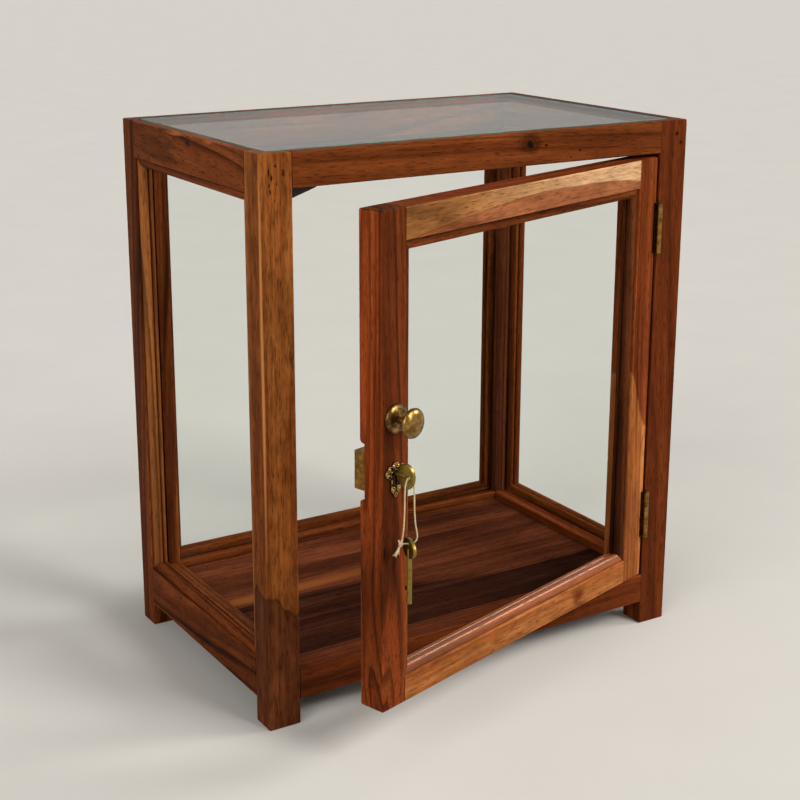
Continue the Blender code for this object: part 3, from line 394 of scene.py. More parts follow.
# Where a piece turns to another tone: a place on the border, the way into the zone, how soft and wavy the
# border is, how much it bends away from that place, and how strong the dark line along it is
Zone = namedtuple("Zone", "palette edge into softness wander bow line", defaults=(0.0, 0.0))
FOOT_WAY = Vector((-0.55, 0, -0.83))
STILE_WAY = ACROSS * -0.912 - UP * 0.41
BOARD_WAY = Vector((0.41, 0.91, 0))
ZONES = {
    "post_front_left": [
        Zone("tawny", on_front("post_front_left", 0.0, 0.38), -UP, 0.10, 0.05),
        Zone("foot", on_front("post_front_left", 0.002, 0.137), FOOT_WAY, 0.003, 0.034, line=0.6),
    ],
    "door_stile_hinge": [Zone("tan", on_door_face(0.414, 0.0014), STILE_WAY, 0.002, 0.022, line=0.5)],
    "door_rail_top": [
        # The top rail turns paler towards its hinge end: a painted sheen, standing in for light glancing off it
        Zone("painted_sheen", on_door_face(0.24, 0.24), ACROSS, 0.16, 0.10),
        Zone("rose", on_door_face(0.26, 0.2420), -UP, 0.0012, 0.008, bow=0.32, line=0.5),
        Zone("red", on_door_face(0.25, 0.2557), UP, 0.0002, 0.0),
    ],
    "base_board_2": [Zone("red_board", Vector((0.03, 0.03, 0.064)), BOARD_WAY, 0.016, 0.06)],
    "door_rail_bottom": [Zone("amber", on_door_face(0.16, -0.24), -ACROSS, 0.12, 0.05)],
    "door_stile_lock": [
        # The lock stile's free edge face is painted lighter than its front: painted light falling on that face
        Zone("edge", on_door_face(-0.0172, 0), -ACROSS, 0.0002, 0.0),
        Zone("red", on_door_face(-0.0172, -0.06), -UP, 0.08, 0.05),
    ],
}
BORDER_GRAIN = (12.0, 55.0, 55.0)

# Small marks: their centre, their reach along X, Y and Z, their tone, the distances at which they start
# and are full, as shares of that reach, and how ragged they are
MARK_DEFAULTS = (DARK_MARK, 1.25, 0.7, 2.2)
Mark = namedtuple("Mark", "centre reach tone outer inner ragged", defaults=MARK_DEFAULTS)
MARK_DEPTH = 0.004
DOWEL_REACH = (0.0023, MARK_DEPTH, 0.0025)
# Worm marks on the front left post: across, height, half width and half height
WORM_MARKS = (
    (-0.0070, 0.5920, 0.0016, 0.0062), (-0.0044, 0.5865, 0.0014, 0.0042),
    (-0.0070, 0.5790, 0.0011, 0.0026), (-0.0058, 0.5722, 0.0014, 0.0032),
    (0.0000, 0.5972, 0.0012, 0.0018), (0.0086, 0.5900, 0.0020, 0.0034),
    (0.0012, 0.5800, 0.0009, 0.0020), (-0.0010, 0.5640, 0.0008, 0.0016),
)
SPOTS = {
    "post_front_left": [
        Mark(on_front("post_front_left", across, height), (wide, MARK_DEPTH, tall), DARK_MARK, 1.2, 0.3)
        for across, height, wide, tall in WORM_MARKS
    ]
    # A long painted highlight down the left arris of the post's front face
    + [Mark(on_front("post_front_left", -0.0185, 0.40), (0.0024, 0.0024, 0.22), ARRIS_HIGHLIGHT_TONE, 1.2, 0.4, 0.6)],
    "top_rail_left": [
        Mark(on_left("top_rail_left", 0.106, 0.6085), (MARK_DEPTH, 0.026, 0.0026), WORN_MARK, 1.2, 0.2),
        Mark(on_left("top_rail_left", 0.020, 0.6085), (MARK_DEPTH, 0.012, 0.0024), WORN_MARK, 1.2, 0.2),
        Mark(on_left("top_rail_left", 0.070, 0.6010), (MARK_DEPTH, 0.007, 0.0034), DARK_MARK, 1.3, 0.2),
    ],
    "top_rail_front": [
        Mark(on_front("top_rail_front", 0.0730, 0.5945), (0.0024, MARK_DEPTH, 0.0011)),
        Mark(on_front("top_rail_front", 0.1180, 0.5860), (0.0018, MARK_DEPTH, 0.0012)),
        Mark(on_front("top_rail_front", 0.1060, 0.5795), (0.0014, MARK_DEPTH, 0.0009)),
    ],
    "post_front_right": [
        Mark(on_front("post_front_right", 0.0039, 0.5947), DOWEL_REACH),
        Mark(on_front("post_front_right", 0.0101, 0.5845), DOWEL_REACH),
    ],
    "base_board_3": [Mark(Vector((-0.16, 0.094, 0.064)), (0.17, 0.0115, 0.01), PALE_STREAK, 1.3, 0.3, 0.5)],
    "door_stile_lock": [Mark(on_door_face(-0.0150, -0.0784), (0.0016, MARK_DEPTH, 0.0075))],
    "door_rail_bottom": [Mark(on_door_face(0.320, -0.233), (0.012, 0.012, 0.010), RUSTY_MARK, 1.6, 0.1)],
}
RAGGED_DETAIL = 0.8
# The knot in the front top rail: a dark halo, rings at shares of its reach and a darker core
KNOTTY = "top_rail_front"
KNOT = Mark(on_front(KNOTTY, 0.0514, 0.5975), (0.0130, 0.020, 0.0100), ragged=1.0)
KNOT_TONE = srgb(34, 14, 6)
KNOT_HALO = (1.25, 0.55, 0.0, 0.5)
KNOT_RINGS = (0.70, 0.92, 1.12)
KNOT_RING_EDGE = (0.11, 0.01)
KNOT_RING_FADE = 0.6
KNOT_CORE_TONE = srgb(24, 13, 8)
KNOT_CORE = (0.58, 0.20)
# Long edges of the boxy pieces, lightened in noisy patches: partly wear, partly a painted highlight
BOXY = ("post_", "top_rail_", "bottom_rail_", "door_stile_", "door_rail_")
ARRIS_REACH = 0.0026
ARRIS_WEAR_AND_GLINT = 1.5
WEAR_AND_GLINT_GRAIN = (40.0, 300.0, 300.0)
# How a piece lies in its tree: the most that its grain leans, in degrees, and its place from the heart
GRAIN_LEAN = 1.6
HEART_DISTANCES = (0.035, 0.10)
TREE_LENGTH = 40
# The tint of a piece's gloss, and how much smoother full gloss makes it
WARM_GLOSS = (1.0, 0.64, 0.40, 1.0)
GLOSS_POLISH = 0.16


def zoned_colours(g, place, cut_place, colours, zone):
    """A cut's three tones turned to a zone's, with tongues along the grain and a dark border."""
    offset = g.vector("SUBTRACT", place, zone.edge)
    away = g.vector("DOT_PRODUCT", offset, zone.into)
    wave = g.minus(g.noise(cut_place, BORDER_GRAIN), NOISE_MIDDLE)
    away = g.plus(away, g.times(wave, zone.wander))
    if zone.bow:
        away = g.minus(away, g.times(g.vector("DOT_PRODUCT", offset, offset), zone.bow))
    share = g.ranged(away, -zone.softness, zone.softness)
    main, pale, streak = (g.mix(share, own, other) for own, other in zip(colours, PALETTES[zone.palette]))
    if zone.line:
        border = g.ranged(g.math("ABSOLUTE", away), zone.softness, 0.0, 0.0, zone.line)
        main = g.mix(border, main, streak)
        pale = g.mix(border, pale, streak)
    return main, pale, streak


def mark_distance(g, place, mark):
    """The distance from a mark's ragged centre, where 1 is its edge."""
    fineness = tuple(RAGGED_DETAIL / reach for reach in mark.reach)
    ragged = g.strayed(place, fineness, tuple(mark.ragged * reach for reach in mark.reach))
    offset = g.vector("SUBTRACT", ragged, mark.centre)
    return g.vector("LENGTH", g.vector("DIVIDE", offset, mark.reach))


def marked_colour(g, place, node, colour):
    """A piece's colour with its small marks and its knot."""
    for mark in SPOTS.get(node, ()):
        colour = g.mix(g.ranged(mark_distance(g, place, mark), mark.outer, mark.inner), colour, mark.tone)
    if node == KNOTTY:
        distance = mark_distance(g, place, KNOT)
        colour = g.mix(g.ranged(distance, *KNOT_HALO), colour, KNOT_TONE)
        for ring in KNOT_RINGS:
            rim = g.math("ABSOLUTE", g.minus(distance, ring))
            share = g.ranged(rim, *KNOT_RING_EDGE, 0.0, 1.0 - KNOT_RING_FADE * ring)
            colour = g.mix(share, colour, KNOT_TONE)
        colour = g.mix(g.ranged(distance, *KNOT_CORE), colour, KNOT_CORE_TONE)
    return colour


def arris_share(g, place, turn, middle, half):
    """How near a place is to a long edge of its piece: 1 on the edge, 0 a little way in."""
    own = g.mapped(place, turn, -(turn @ middle))
    _, side, depth = g.split(g.vector("SUBTRACT", half, g.vector("ABSOLUTE", own)))
    wear_and_glint = g.noise(own, WEAR_AND_GLINT_GRAIN, detail=3.0)
    share = g.ranged(g.math("MAXIMUM", side, depth), ARRIS_REACH, 0.0)
    return g.times(share, g.ranged(wear_and_glint, *NOISE_SPREAD))


def swung_place(g, place):
    """A place moved aside more and more below a height, so that the grain swings."""
    _, _, height = g.split(place)
    below = g.math("MAXIMUM", g.minus(SWING_TOP, height), 0.0)
    shift = g.times(g.times(below, below), -SWING_PULL)
    return g.vector("ADD", place, g.brighter(SWING_WAY, shift))


def timber_material(node, cut, seed):
    """A piece's own cut of timber, with its grain along the piece and its own place in the tree."""
    chance = random.Random(seed)
    turn, low, high = local_box(node)
    size = high - low
    lengthwise = LENGTHWISE[max(range(3), key=lambda axis: size[axis])]
    middle = turn.transposed() @ ((low + high) / 2)
    half = Vector(map(abs, lengthwise @ size)) / 2
    turn = lengthwise @ turn
    tilt = radians(chance.uniform(-GRAIN_LEAN, GRAIN_LEAN) + cut.slant)
    swerve = radians(chance.uniform(-GRAIN_LEAN, GRAIN_LEAN))
    leaning = Matrix.Rotation(tilt, 3, "Y") @ Matrix.Rotation(swerve, 3, "Z") @ turn
    angle = chance.uniform(0, tau)
    distance = cut.heart or chance.uniform(*HEART_DISTANCES)
    along = chance.uniform(0, TREE_LENGTH)
    heart = Vector((along, distance * cos(angle), distance * sin(angle)))

    g, shader, material = new_material(f"timber_{node}")
    place = g.object_place()
    swung = swung_place(g, place) if cut.swings else place
    cut_place = g.mapped(swung, leaning, heart - leaning @ middle)
    colours = PALETTES[cut.palette]
    for zone in ZONES.get(node, ()):
        colours = zoned_colours(g, place, cut_place, colours, zone)
    group = g.node("ShaderNodeGroup", node_tree=TIMBER)
    main, pale, streak = colours
    g.fill(group, Vector=cut_place, Main=main, Pale=pale, Streak=streak, Figure=cut.figure, Mottle=cut.mottle)

    colour = group.outputs["Color"]
    # Long edges lightened in noisy patches: partly wear, partly a painted highlight
    if node.startswith(BOXY):
        worn_and_glint = arris_share(g, place, turn, middle, half)
        colour = g.mix(worn_and_glint, colour, g.brighter(colour, ARRIS_WEAR_AND_GLINT))
    g.fill(
        shader,
        Base_Color=marked_colour(g, place, node, colour),
        Roughness=g.times(group.outputs["Roughness"], 1.0 - GLOSS_POLISH * cut.gloss),
        Normal=g.bump(group.outputs["Height"], strength=0.35, distance=0.0004),
        Specular_IOR_Level=cut.gloss,
        Specular_Tint=WARM_GLOSS,
    )
    return material


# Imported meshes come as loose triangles: they are joined, and edges past an angle stay sharp
JOIN_DISTANCE = 0.00002
SHARP_PACKED = radians(48)
SHARP_BUILT = radians(45)


def soft_shade_tree():
    """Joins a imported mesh's loose triangles and rounds the shading over shallow edges."""
    tree = bpy.data.node_groups.new("soft_shade", "GeometryNodeTree")
    for way in ("INPUT", "OUTPUT"):
        tree.interface.new_socket("Geometry", in_out=way, socket_type="NodeSocketGeometry")
    g = Graph(tree)
    start = g.node("NodeGroupInput").outputs[0]
    bare = g.fill(g.node("GeometryNodeRemoveAttribute"), Geometry=start, Name="custom_normal")
    merged = g.node("GeometryNodeMergeByDistance")
    g.fill(merged, Geometry=bare.outputs[0], Distance=JOIN_DISTANCE)
    faces = g.node("GeometryNodeSetShadeSmooth", domain="FACE")
    g.fill(faces, Geometry=merged.outputs[0], Shade_Smooth=True)
    angle = g.node("GeometryNodeInputMeshEdgeAngle").outputs["Unsigned Angle"]
    sharp = g.fed("FunctionNodeCompare", angle, SHARP_PACKED, data_type="FLOAT", operation="GREATER_THAN")
    edges = g.node("GeometryNodeSetShadeSmooth", domain="EDGE")
    g.fill(edges, Geometry=faces.outputs[0], Selection=sharp.outputs[0], Shade_Smooth=False)
    g.fed("NodeGroupOutput", edges.outputs[0])
    return tree


SOFT_SHADE = soft_shade_tree()


def soften(obj):
    joined = obj.modifiers.new("soft_shade", "NODES")
    joined.node_group = SOFT_SHADE
    weighted = obj.modifiers.new("even_normals", "WEIGHTED_NORMAL")
    weighted.mode = "FACE_AREA_WITH_ANGLE"
    weighted.keep_sharp = True


def dress(obj, material):
    obj.data.materials.clear()
    obj.data.materials.append(material)


# Panes: how much of a ray one face mirrors at a glance, and the slant at which the mirror starts to show
GLANCING_MIRROR = 0.32
GLANCE_START = 0.6


def pane_material():
    """Clear glass that mirrors a little."""
    g, shader, material = new_material("pane")
    output = shader.outputs[0].links[0].to_socket
    clear = g.fill(g.node("ShaderNodeBsdfTransparent"), Color=(0.975, 0.985, 0.98, 1.0))
    mirror = g.fill(g.node("ShaderNodeBsdfGlossy"), Color=(0.92, 0.95, 0.94, 1.0), Roughness=0.02)
    facing = g.node("ShaderNodeLayerWeight").outputs["Facing"]
    share = g.ranged(facing, GLANCE_START, 1.0, 0.0, GLANCING_MIRROR)
    g.feed(output, g.fed("ShaderNodeMixShader", share, clear.outputs[0], mirror.outputs[0]).outputs[0])
    g.tree.nodes.remove(shader)
    return material


def grained_material(
    name, grain, tones, step=NOISE_STEP, roughness=None, relief=None, patches=None, detail=3.0, **plain
):
    """A material whose tone, roughness and relief follow one noise, and its patches another."""
    g, shader, material = new_material(name)
    place = g.object_place()
    noise = g.noise(place, grain, detail)
    colour = g.mix(g.ranged(noise, *step) if step else noise, *tones)
    if patches:
        patch_grain, *light = patches
        colour = g.brighter(colour, g.evenly(g.noise(place, patch_grain), *NOISE_SPREAD, *light))
    g.fill(shader, Base_Color=colour, **plain)
    if roughness:
        g.fill(shader, Roughness=g.ranged(noise, *NOISE_SPREAD, *roughness))
    if relief:
        g.fill(shader, Normal=g.bump(noise, *relief))
    return material


# Brass: noise levels from bright to dull and from clean to specked, and how far a full patina lowers them
DULL_LEVELS = (0.40, 0.66)
DULL_DROPS = (0.15, 0.10)
SPECK_LEVELS = (0.66, 0.74)
SPECK_DROPS = (0.06, 0.06)
SPECK_TONE = srgb(38, 27, 14)
SPECK_SHARE = 0.8
SPECK_ROUGHNESS = 0.2
SPECK_DEPTH = 0.5
POLISHED = -0.08
DULLED = 0.14
DENT_RISE = 0.6


def aged_levels(levels, drops, patina):
    return [level - drop * patina for level, drop in zip(levels, drops)]


def brass_material(name, bright, dull, roughness, patina):
    """Aged brass: a mottled tone with dark specks and small dents."""
    g, shader, material = new_material(name)
    place = g.object_place()
    mottle = g.noise(place, grain=160.0, detail=4.0, roughness=0.6)
    specks = g.noise(place, grain=900.0, roughness=0.6)
    share = g.ranged(mottle, *aged_levels(DULL_LEVELS, DULL_DROPS, patina))
    dark = g.ranged(specks, *aged_levels(SPECK_LEVELS, SPECK_DROPS, patina), 0.0, SPECK_SHARE)
    rough = g.evenly(mottle, *NOISE_SPREAD, roughness + POLISHED, roughness + DULLED)
    relief = g.minus(g.times(mottle, DENT_RISE), g.times(dark, SPECK_DEPTH))
    g.fill(
        shader,
        Base_Color=g.mix(dark, g.mix(share, bright, dull), SPECK_TONE),
        Roughness=g.plus(rough, g.times(dark, SPECK_ROUGHNESS)),
        Normal=g.bump(relief, strength=0.3, distance=0.0004),
        Metallic=1.0,
    )
    return material


# The cast key plate: how uneven its height is, and the heights at which it is dirty and rubbed bright
CAST_UNEVEN = 0.0008
CAST_HEIGHTS = (0.0013, 0.0022)
CAST_ROUGHNESS = (0.6, 0.24)


def cast_material():
    """Cast brass with dirt in its hollows: the tone follows the height above the door's face."""
    g, shader, material = new_material("plate_brass")
    place = g.object_place()
    height = g.vector("DOT_PRODUCT", g.vector("SUBTRACT", place, KEY_ON_FACE), OUT)
    mottle = g.noise(place, grain=420.0, detail=3.0)
    height = g.plus(height, g.times(g.minus(mottle, NOISE_MIDDLE), CAST_UNEVEN))
    raised = g.ranged(height, *CAST_HEIGHTS)
    g.fill(
        shader,
        Base_Color=g.mix(raised, srgb(34, 24, 13), srgb(184, 144, 84)),
        Roughness=g.ranged(raised, 0.0, 1.0, *CAST_ROUGHNESS),
        Normal=g.bump(mottle, strength=0.25, distance=0.0003),
        Metallic=1.0,
    )
    return material


PANE = pane_material()
EDGE_TONES = (srgb(22, 104, 80), srgb(58, 158, 128))
PANE_EDGE = grained_material(
    "pane_edge", 60.0, EDGE_TONES, detail=2.0, Roughness=0.4, Specular_IOR_Level=0.08
)
KNOB_BRASS = brass_material("knob_brass", srgb(158, 125, 66), srgb(108, 81, 40), roughness=0.25, patina=0.45)
CAST_BRASS = brass_material("cast_brass", srgb(176, 136, 76), srgb(78, 54, 27), roughness=0.34, patina=0.9)
KEY_BRASS = brass_material("key_brass", srgb(142, 120, 56), srgb(122, 102, 45), roughness=0.32, patina=0.0)
HINGE_BRASS = brass_material("hinge_brass", srgb(152, 116, 58), srgb(98, 70, 30), roughness=0.30, patina=0.4)
LOCK_BRASS = brass_material("lock_brass", srgb(150, 110, 48), srgb(112, 78, 30), roughness=0.42, patina=0.4)
PLATE_BRASS = cast_material()
STAIN_TONES = (srgb(22, 17, 14), srgb(42, 31, 24))
STAINED = grained_material(
    "stained_block", (20.0, 400.0, 400.0), STAIN_TONES, roughness=(0.6, 0.8), relief=(0.3, 0.0004)
)
OILY_STEEL = (srgb(96, 80, 44), srgb(132, 108, 58))
STEEL = grained_material(
    "bolt_steel", (120.0, 120.0, 2400.0), OILY_STEEL, step=None, roughness=(0.28, 0.44), Metallic=1.0
)
TWINE_TONES = (srgb(166, 136, 100), srgb(222, 198, 160))
TWINE = grained_material(
    "twine", (2600.0, 2600.0, 1200.0), TWINE_TONES, relief=(0.5, 0.0003), patches=(220.0, 0.85, 1.1),
    detail=2.0, Roughness=0.92, Specular_IOR_Level=0.2, Sheen_Weight=0.3,
)

FITTINGS = {
    "knob": KNOB_BRASS,
    "knob_rose": CAST_BRASS,
    "knob_screw": LOCK_BRASS,
    "escutcheon": CAST_BRASS,
    "lock_cap": LOCK_BRASS,
    "lock_case": LOCK_BRASS,
    "lock_bolt": STEEL,
    "key": KEY_BRASS,
    "spare_key": KEY_BRASS,
    "door_stop": STAINED,
    "key_string": TWINE,
}

for index, (name, obj) in enumerate(sorted(NODES.items())):
    if "glass" in name:
        dress(obj, PANE)
        continue
    if name in FITTINGS:
        dress(obj, FITTINGS[name])
    elif name.startswith("hinge_"):
        dress(obj, HINGE_BRASS)
    else:
        dress(obj, timber_material(name, CUTS.get(name, PLAIN_CUT), index))
    soften(obj)

# Twine: the same route as the CAD string, given across, out and up from the lock key's string hole
STRING_DIAMETER = 0.0015
STRING_STEP = 0.0004
PLIES = 2
PLY_TWIST = 0.0034
PLY_SIDES = 7
PLY_RADIUS = STRING_DIAMETER * 0.34
PLY_OFFSET = STRING_DIAMETER * 0.25
STRING_ROUTE = (
    (-0.0190, -0.0016, -0.0745), (-0.0150, -0.0018, -0.0705), (-0.0112, -0.0020, -0.0665),
    (-0.0093, -0.0016, -0.0615), (-0.0082, -0.0009, -0.0540), (-0.0076, -0.0003, -0.0420),
    (-0.0074, 0.0000, -0.0280), (-0.0072, 0.0000, -0.0150), (-0.0063, 0.0000, -0.0070),
    (-0.0046, 0.0000, -0.0026), (-0.0022, 0.0000, -0.0010), (0.0000, 0.0000, -0.00095),
    (0.0022, 0.0000, -0.0010), (0.0046, 0.0000, -0.0026), (0.0060, 0.0000, -0.0075),
    (0.0064, 0.0002, -0.0180), (0.0065, 0.0005, -0.0340), (0.0070, 0.0012, -0.0480),
    (0.0081, 0.0022, -0.0570), (0.0076, 0.0029, -0.0630), (0.0053, 0.0023, -0.0663),
    (0.0023, 0.0010, -0.0670), (0.0000, 0.0000, -0.06705), (-0.0023, -0.0010, -0.0670),
    (-0.0054, -0.0026, -0.0666), (-0.0082, -0.0042, -0.0668), (-0.0100, -0.0049, -0.0705),
    (-0.0105, -0.0050, -0.0760),
)


def smooth_route(points, step):
    """Points about one step apart on a smooth curve through the given points."""
    padded = [2 * points[0] - points[1], *points, 2 * points[-1] - points[-2]]
    fine = []
    for before, start, end, after in zip(padded, padded[1:], padded[2:], padded[3:]):
        count = max(1, round((end - start).length / step))
        for k in range(count):
            t = k / count
            bend = (2 * before - 5 * start + 4 * end - after) * t**2
            twist = (3 * start - before - 3 * end + after) * t**3
            fine.append((2 * start + (end - before) * t + bend + twist) / 2)
    fine.append(points[-1])
    return fine


def carried_frames(route):
    """A sideways and an upward direction at each point of a route, without twist."""
    ahead = [*route[1:], route[-1]]
    behind = [route[0], *route[:-1]]
    tangents = [(after - before).normalized() for after, before in zip(ahead, behind)]
    side = tangents[0].orthogonal().normalized()
    frames = []
    for tangent in tangents:
        side = (side - tangent * side.dot(tangent)).normalized()
        frames.append((side, tangent.cross(side)))
    return frames


def add_tube(shape, route, radius, sides, taper=0.0, shift=None):
    """A closed tube along a route, thinner at its end by the taper, moved aside by shift(k)."""
    around = [tau * s / sides for s in range(sides)]
    rings = []
    for k, (place, (side, up)) in enumerate(zip(route, carried_frames(route))):
        if shift:
            offset_side, offset_up = shift(k)
            place = place + side * offset_side + up * offset_up
        size = radius * (1.0 - taper * k / (len(route) - 1))
        rims = [(side * cos(angle) + up * sin(angle)) * size for angle in around]
        rings.append([shape.verts.new(place + rim) for rim in rims])
    for first, second in zip(rings, rings[1:]):
        for s in range(sides):
            t = (s + 1) % sides
            shape.faces.new((first[s], first[t], second[t], second[s]))
    shape.faces.new(list(reversed(rings[0])))
    shape.faces.new(rings[-1])


def link_mesh(name, shape, material, smooth=True):
    """A new piece from a bmesh, in the row frame."""
    bmesh.ops.recalc_face_normals(shape, faces=shape.faces)
    mesh = bpy.data.meshes.new(name)
    shape.to_mesh(mesh)
    shape.free()
    mesh.materials.append(material)
    if smooth:
        mesh.shade_smooth()
        mesh.set_sharp_from_angle(angle=SHARP_BUILT)
    return link_object(name, mesh)


def make_twine(name, route):
    """Twisted twine along a route: plies that wind round each other."""
    shape = bmesh.new()
    lengths = [0.0]
    for first, second in zip(route, route[1:]):
        lengths.append(lengths[-1] + (second - first).length)
    for ply in range(PLIES):
        start = tau * ply / PLIES

        def shift(k, start=start):
            angle = start + tau * lengths[k] / PLY_TWIST
            return PLY_OFFSET * cos(angle), PLY_OFFSET * sin(angle)

        add_tube(shape, route, PLY_RADIUS, PLY_SIDES, shift=shift)
    return link_mesh(name, shape, TWINE)


string_route = smooth_route([from_key_hole(*point) for point in STRING_ROUTE], STRING_STEP)
string = make_twine("twine", string_route)
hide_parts("key_string")
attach(string, "door")

# The knot where the loop is tied
TIE_CENTRE = from_key_hole(-0.0095, -0.0030, -0.0645)
TIE_SIZE = 0.00095
TIE_STRETCH = Vector((0.9, 1.1, -1.3))
TIE_STEPS = 90


def knot_route():
    """A closed trefoil, drawn across, up and out."""
    route = []
    for k in range(TIE_STEPS):
        t = tau * k / TIE_STEPS
        trefoil = Vector((sin(t) + 2 * sin(2 * t), cos(t) - 2 * cos(2 * t), sin(3 * t)))
        route.append(TIE_CENTRE + DOOR_AXES @ (trefoil * TIE_STRETCH) * TIE_SIZE)
    route.append(route[0])
    return route


knot = make_twine("twine_knot", knot_route())
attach(knot, "door")

# The frayed ends of the string: thin fibres that spread from each end
FIBRE_COUNT = 16
FIBRE_RADIUS = 0.00028
FIBRE_TAPER = 0.5
FIBRE_LENGTH = 0.0080
FIBRE_BACK = 0.0066
FIBRE_SPREAD = 0.20
FIBRE_STEPS = 7
FIBRE_SIDES = 5
# Shares that chance picks from: of the string's diameter, of the spread and of the length
FIBRE_STARTS = (0.1, 0.6)
FIBRE_LEANS = (0.2, 1.0)
FIBRE_REACHES = (0.6, 1.0)
TAIL_SEED = 5
# The number of the route's points that give an end's direction
TAIL_POINTS = 8


def add_tuft(shape, end, before, chance):
    """Fibres that leave a string's end in the string's own direction and spread."""
    forward = (end - before).normalized()
    side = forward.orthogonal().normalized()
    other = forward.cross(side)
    for _ in range(FIBRE_COUNT):
        angle = chance.uniform(0, tau)
        sideways = side * cos(angle) + other * sin(angle)
        start = end - forward * FIBRE_BACK + sideways * STRING_DIAMETER * chance.uniform(*FIBRE_STARTS)
        lean = FIBRE_SPREAD * chance.uniform(*FIBRE_LEANS)
        reach = FIBRE_LENGTH * chance.uniform(*FIBRE_REACHES)
        shares = [k / FIBRE_STEPS for k in range(FIBRE_STEPS + 1)]
        route = [start + (forward * t + sideways * lean * t * t) * reach for t in shares]
        add_tube(shape, route, FIBRE_RADIUS, FIBRE_SIDES, taper=FIBRE_TAPER)


tuft_shape = bmesh.new()
tuft_chance = random.Random(TAIL_SEED)
add_tuft(tuft_shape, string_route[0], string_route[TAIL_POINTS], tuft_chance)
add_tuft(tuft_shape, string_route[-1], string_route[-1 - TAIL_POINTS], tuft_chance)
tufts = link_mesh("twine_tails", tuft_shape, TWINE)
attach(tufts, "door")


def add_box(shape, middle, size):
    bmesh.ops.create_cube(shape, matrix=Matrix.Translation(middle) @ Matrix.Diagonal((*size, 1)))


# The top pane, with its upper edge ground to a narrow slanted face
PANE_CHAMFER = 0.0026


def make_top_pane():
    _, low, high = local_box("top_glass")
    middle = (low + high) / 2
    shape = bmesh.new()
    add_box(shape, middle, high - low)
    upper = [edge for edge in shape.edges if all(vertex.co.z > middle.z for vertex in edge.verts)]
    bmesh.ops.bevel(shape, geom=upper, offset=PANE_CHAMFER, segments=1, affect="EDGES", material=1)
    pane = link_mesh("ground_top_pane", shape, PANE, smooth=False)
    pane.data.materials.append(PANE_EDGE)
    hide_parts("top_glass")
    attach(pane, "cabinet")


make_top_pane()

# Dark wax in the joints between the base boards, a little below their faces
JOINT_FILL_WIDTH = 0.0002
JOINT_FILL_DROP = 0.0008


def make_joint_fill():
    boxes = [local_box(name)[1:] for name in sorted(NODES) if name.startswith("base_board_")]
    left = local_box("bottom_rail_left")[2].x
    right = local_box("bottom_rail_right")[1].x
    shape = bmesh.new()
    for (low, high), (next_low, _) in zip(boxes, boxes[1:]):
        middle = Vector(((left + right) / 2, (high.y + next_low.y) / 2, (low.z + high.z) / 2))
        add_box(shape, middle, (right - left, JOINT_FILL_WIDTH, high.z - low.z - 2 * JOINT_FILL_DROP))
    fill = link_mesh("base_joint_fill", shape, STAINED, smooth=False)
    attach(fill, "cabinet")


make_joint_fill()

# Key plate: a cast ornament of scrolls round the keyhole, drawn across, up and out from the key's axis
PLATE_SLAB = 0.0011
PLATE_STEP = 0.0006
PLATE_WELD = 0.000005
PLATE_VOXEL = 0.00024
PLATE_SMOOTHING = 2
RIM_RADIUS = 0.00065
RIM_INSET = 0.0007
KEYHOLE_RIM_RADIUS = RIM_RADIUS * 0.9
KEYHOLE_RADIUS = 0.0033
KEYHOLE_SLOT = 0.0015
KEYHOLE_DROP = 0.0110
KEYHOLE_STEPS = 20
SCROLL_TURNS = 1.3
SCROLL_STEPS = 46
SCROLL_EYE = 0.0007
SCROLL_LIFT = 0.0003
SCROLL_CLIMB = 0.0005
SCROLL_TAPER = 0.25
EYE_RADIUS = 0.0009
EYE_LIFT = 0.0006
LEAF_HEIGHT = 0.0011
TUBE_SIDES = 10
HALF_TURN = 0.5
# Half the plate's outline, from its top to its bottom, in metres across and up
PLATE_EDGE = (
    (0.0000, 0.0115), (0.0034, 0.0110), (0.0058, 0.0084), (0.0086, 0.0088), (0.0112, 0.0062),
    (0.0142, 0.0042), (0.0150, 0.0004), (0.0126, -0.0026), (0.0090, -0.0040), (0.0068, -0.0086),
    (0.0074, -0.0134), (0.0070, -0.0172), (0.0042, -0.0196), (0.0024, -0.0230), (0.0000, -0.0240),
)
# Scrolls on the right half: centre across and up, outer radius, tube radius, start in turns, way of winding
SCROLLS = (
    (0.0088, 0.0052, 0.0028, 0.00060, 0.30, -1),
    (0.0118, 0.0006, 0.0027, 0.00060, 0.05, 1),
    (0.0042, -0.0152, 0.0031, 0.00065, 0.75, -1),
    (0.0028, 0.0080, 0.0026, 0.00055, 0.25, 1),
)
# Leaves on the right half: centre across and up, half length, half width, slant in turns
LEAVES = (
    (0.0068, -0.0012, 0.0026, 0.0007, 0.16),
    (0.0054, -0.0076, 0.0030, 0.0007, 0.29),
    (0.0012, -0.0208, 0.0022, 0.0007, 0.27),
    (0.0058, 0.0022, 0.0018, 0.0006, -0.08),
)


def plate_outline():
    """Points on a smooth closed curve through both halves of the plate's edge."""
    right = [Vector((across, up, 0)) for across, up in PLATE_EDGE]
    points = right + [Vector((-place.x, place.y, 0)) for place in reversed(right[1:-1])]
    fine = smooth_route([points[-1], *points, points[0], points[1]], PLATE_STEP)

    def gap(k):
        return (fine[k] - points[0]).length

    first = min(range(len(fine)), key=gap)
    last = min(range(first + 1, len(fine)), key=gap)
    return fine[first:last]


def arc(radius, start, sweep, steps):
    """Places across and up on an arc round the origin, with both its ends."""
    angles = [start + sweep * k / steps for k in range(steps + 1)]
    return [(radius * cos(angle), radius * sin(angle)) for angle in angles]


def keyhole_outline(margin):
    """A round hole with a slot below it, wider all round by a margin."""
    radius = KEYHOLE_RADIUS + margin
    half = KEYHOLE_SLOT + margin
    opening = asin(half / radius)
    around = arc(radius, -pi / 2 + opening, tau - 2 * opening, KEYHOLE_STEPS)
    low = -KEYHOLE_DROP - margin
    return [Vector((x, y, 0)) for x, y in (*around, (-half, low), (half, low))]


def evaluated_mesh(obj):
    """A new mesh of an object as its modifiers or its curve settings make it."""
    return bpy.data.meshes.new_from_object(obj.evaluated_get(bpy.context.evaluated_depsgraph_get()))


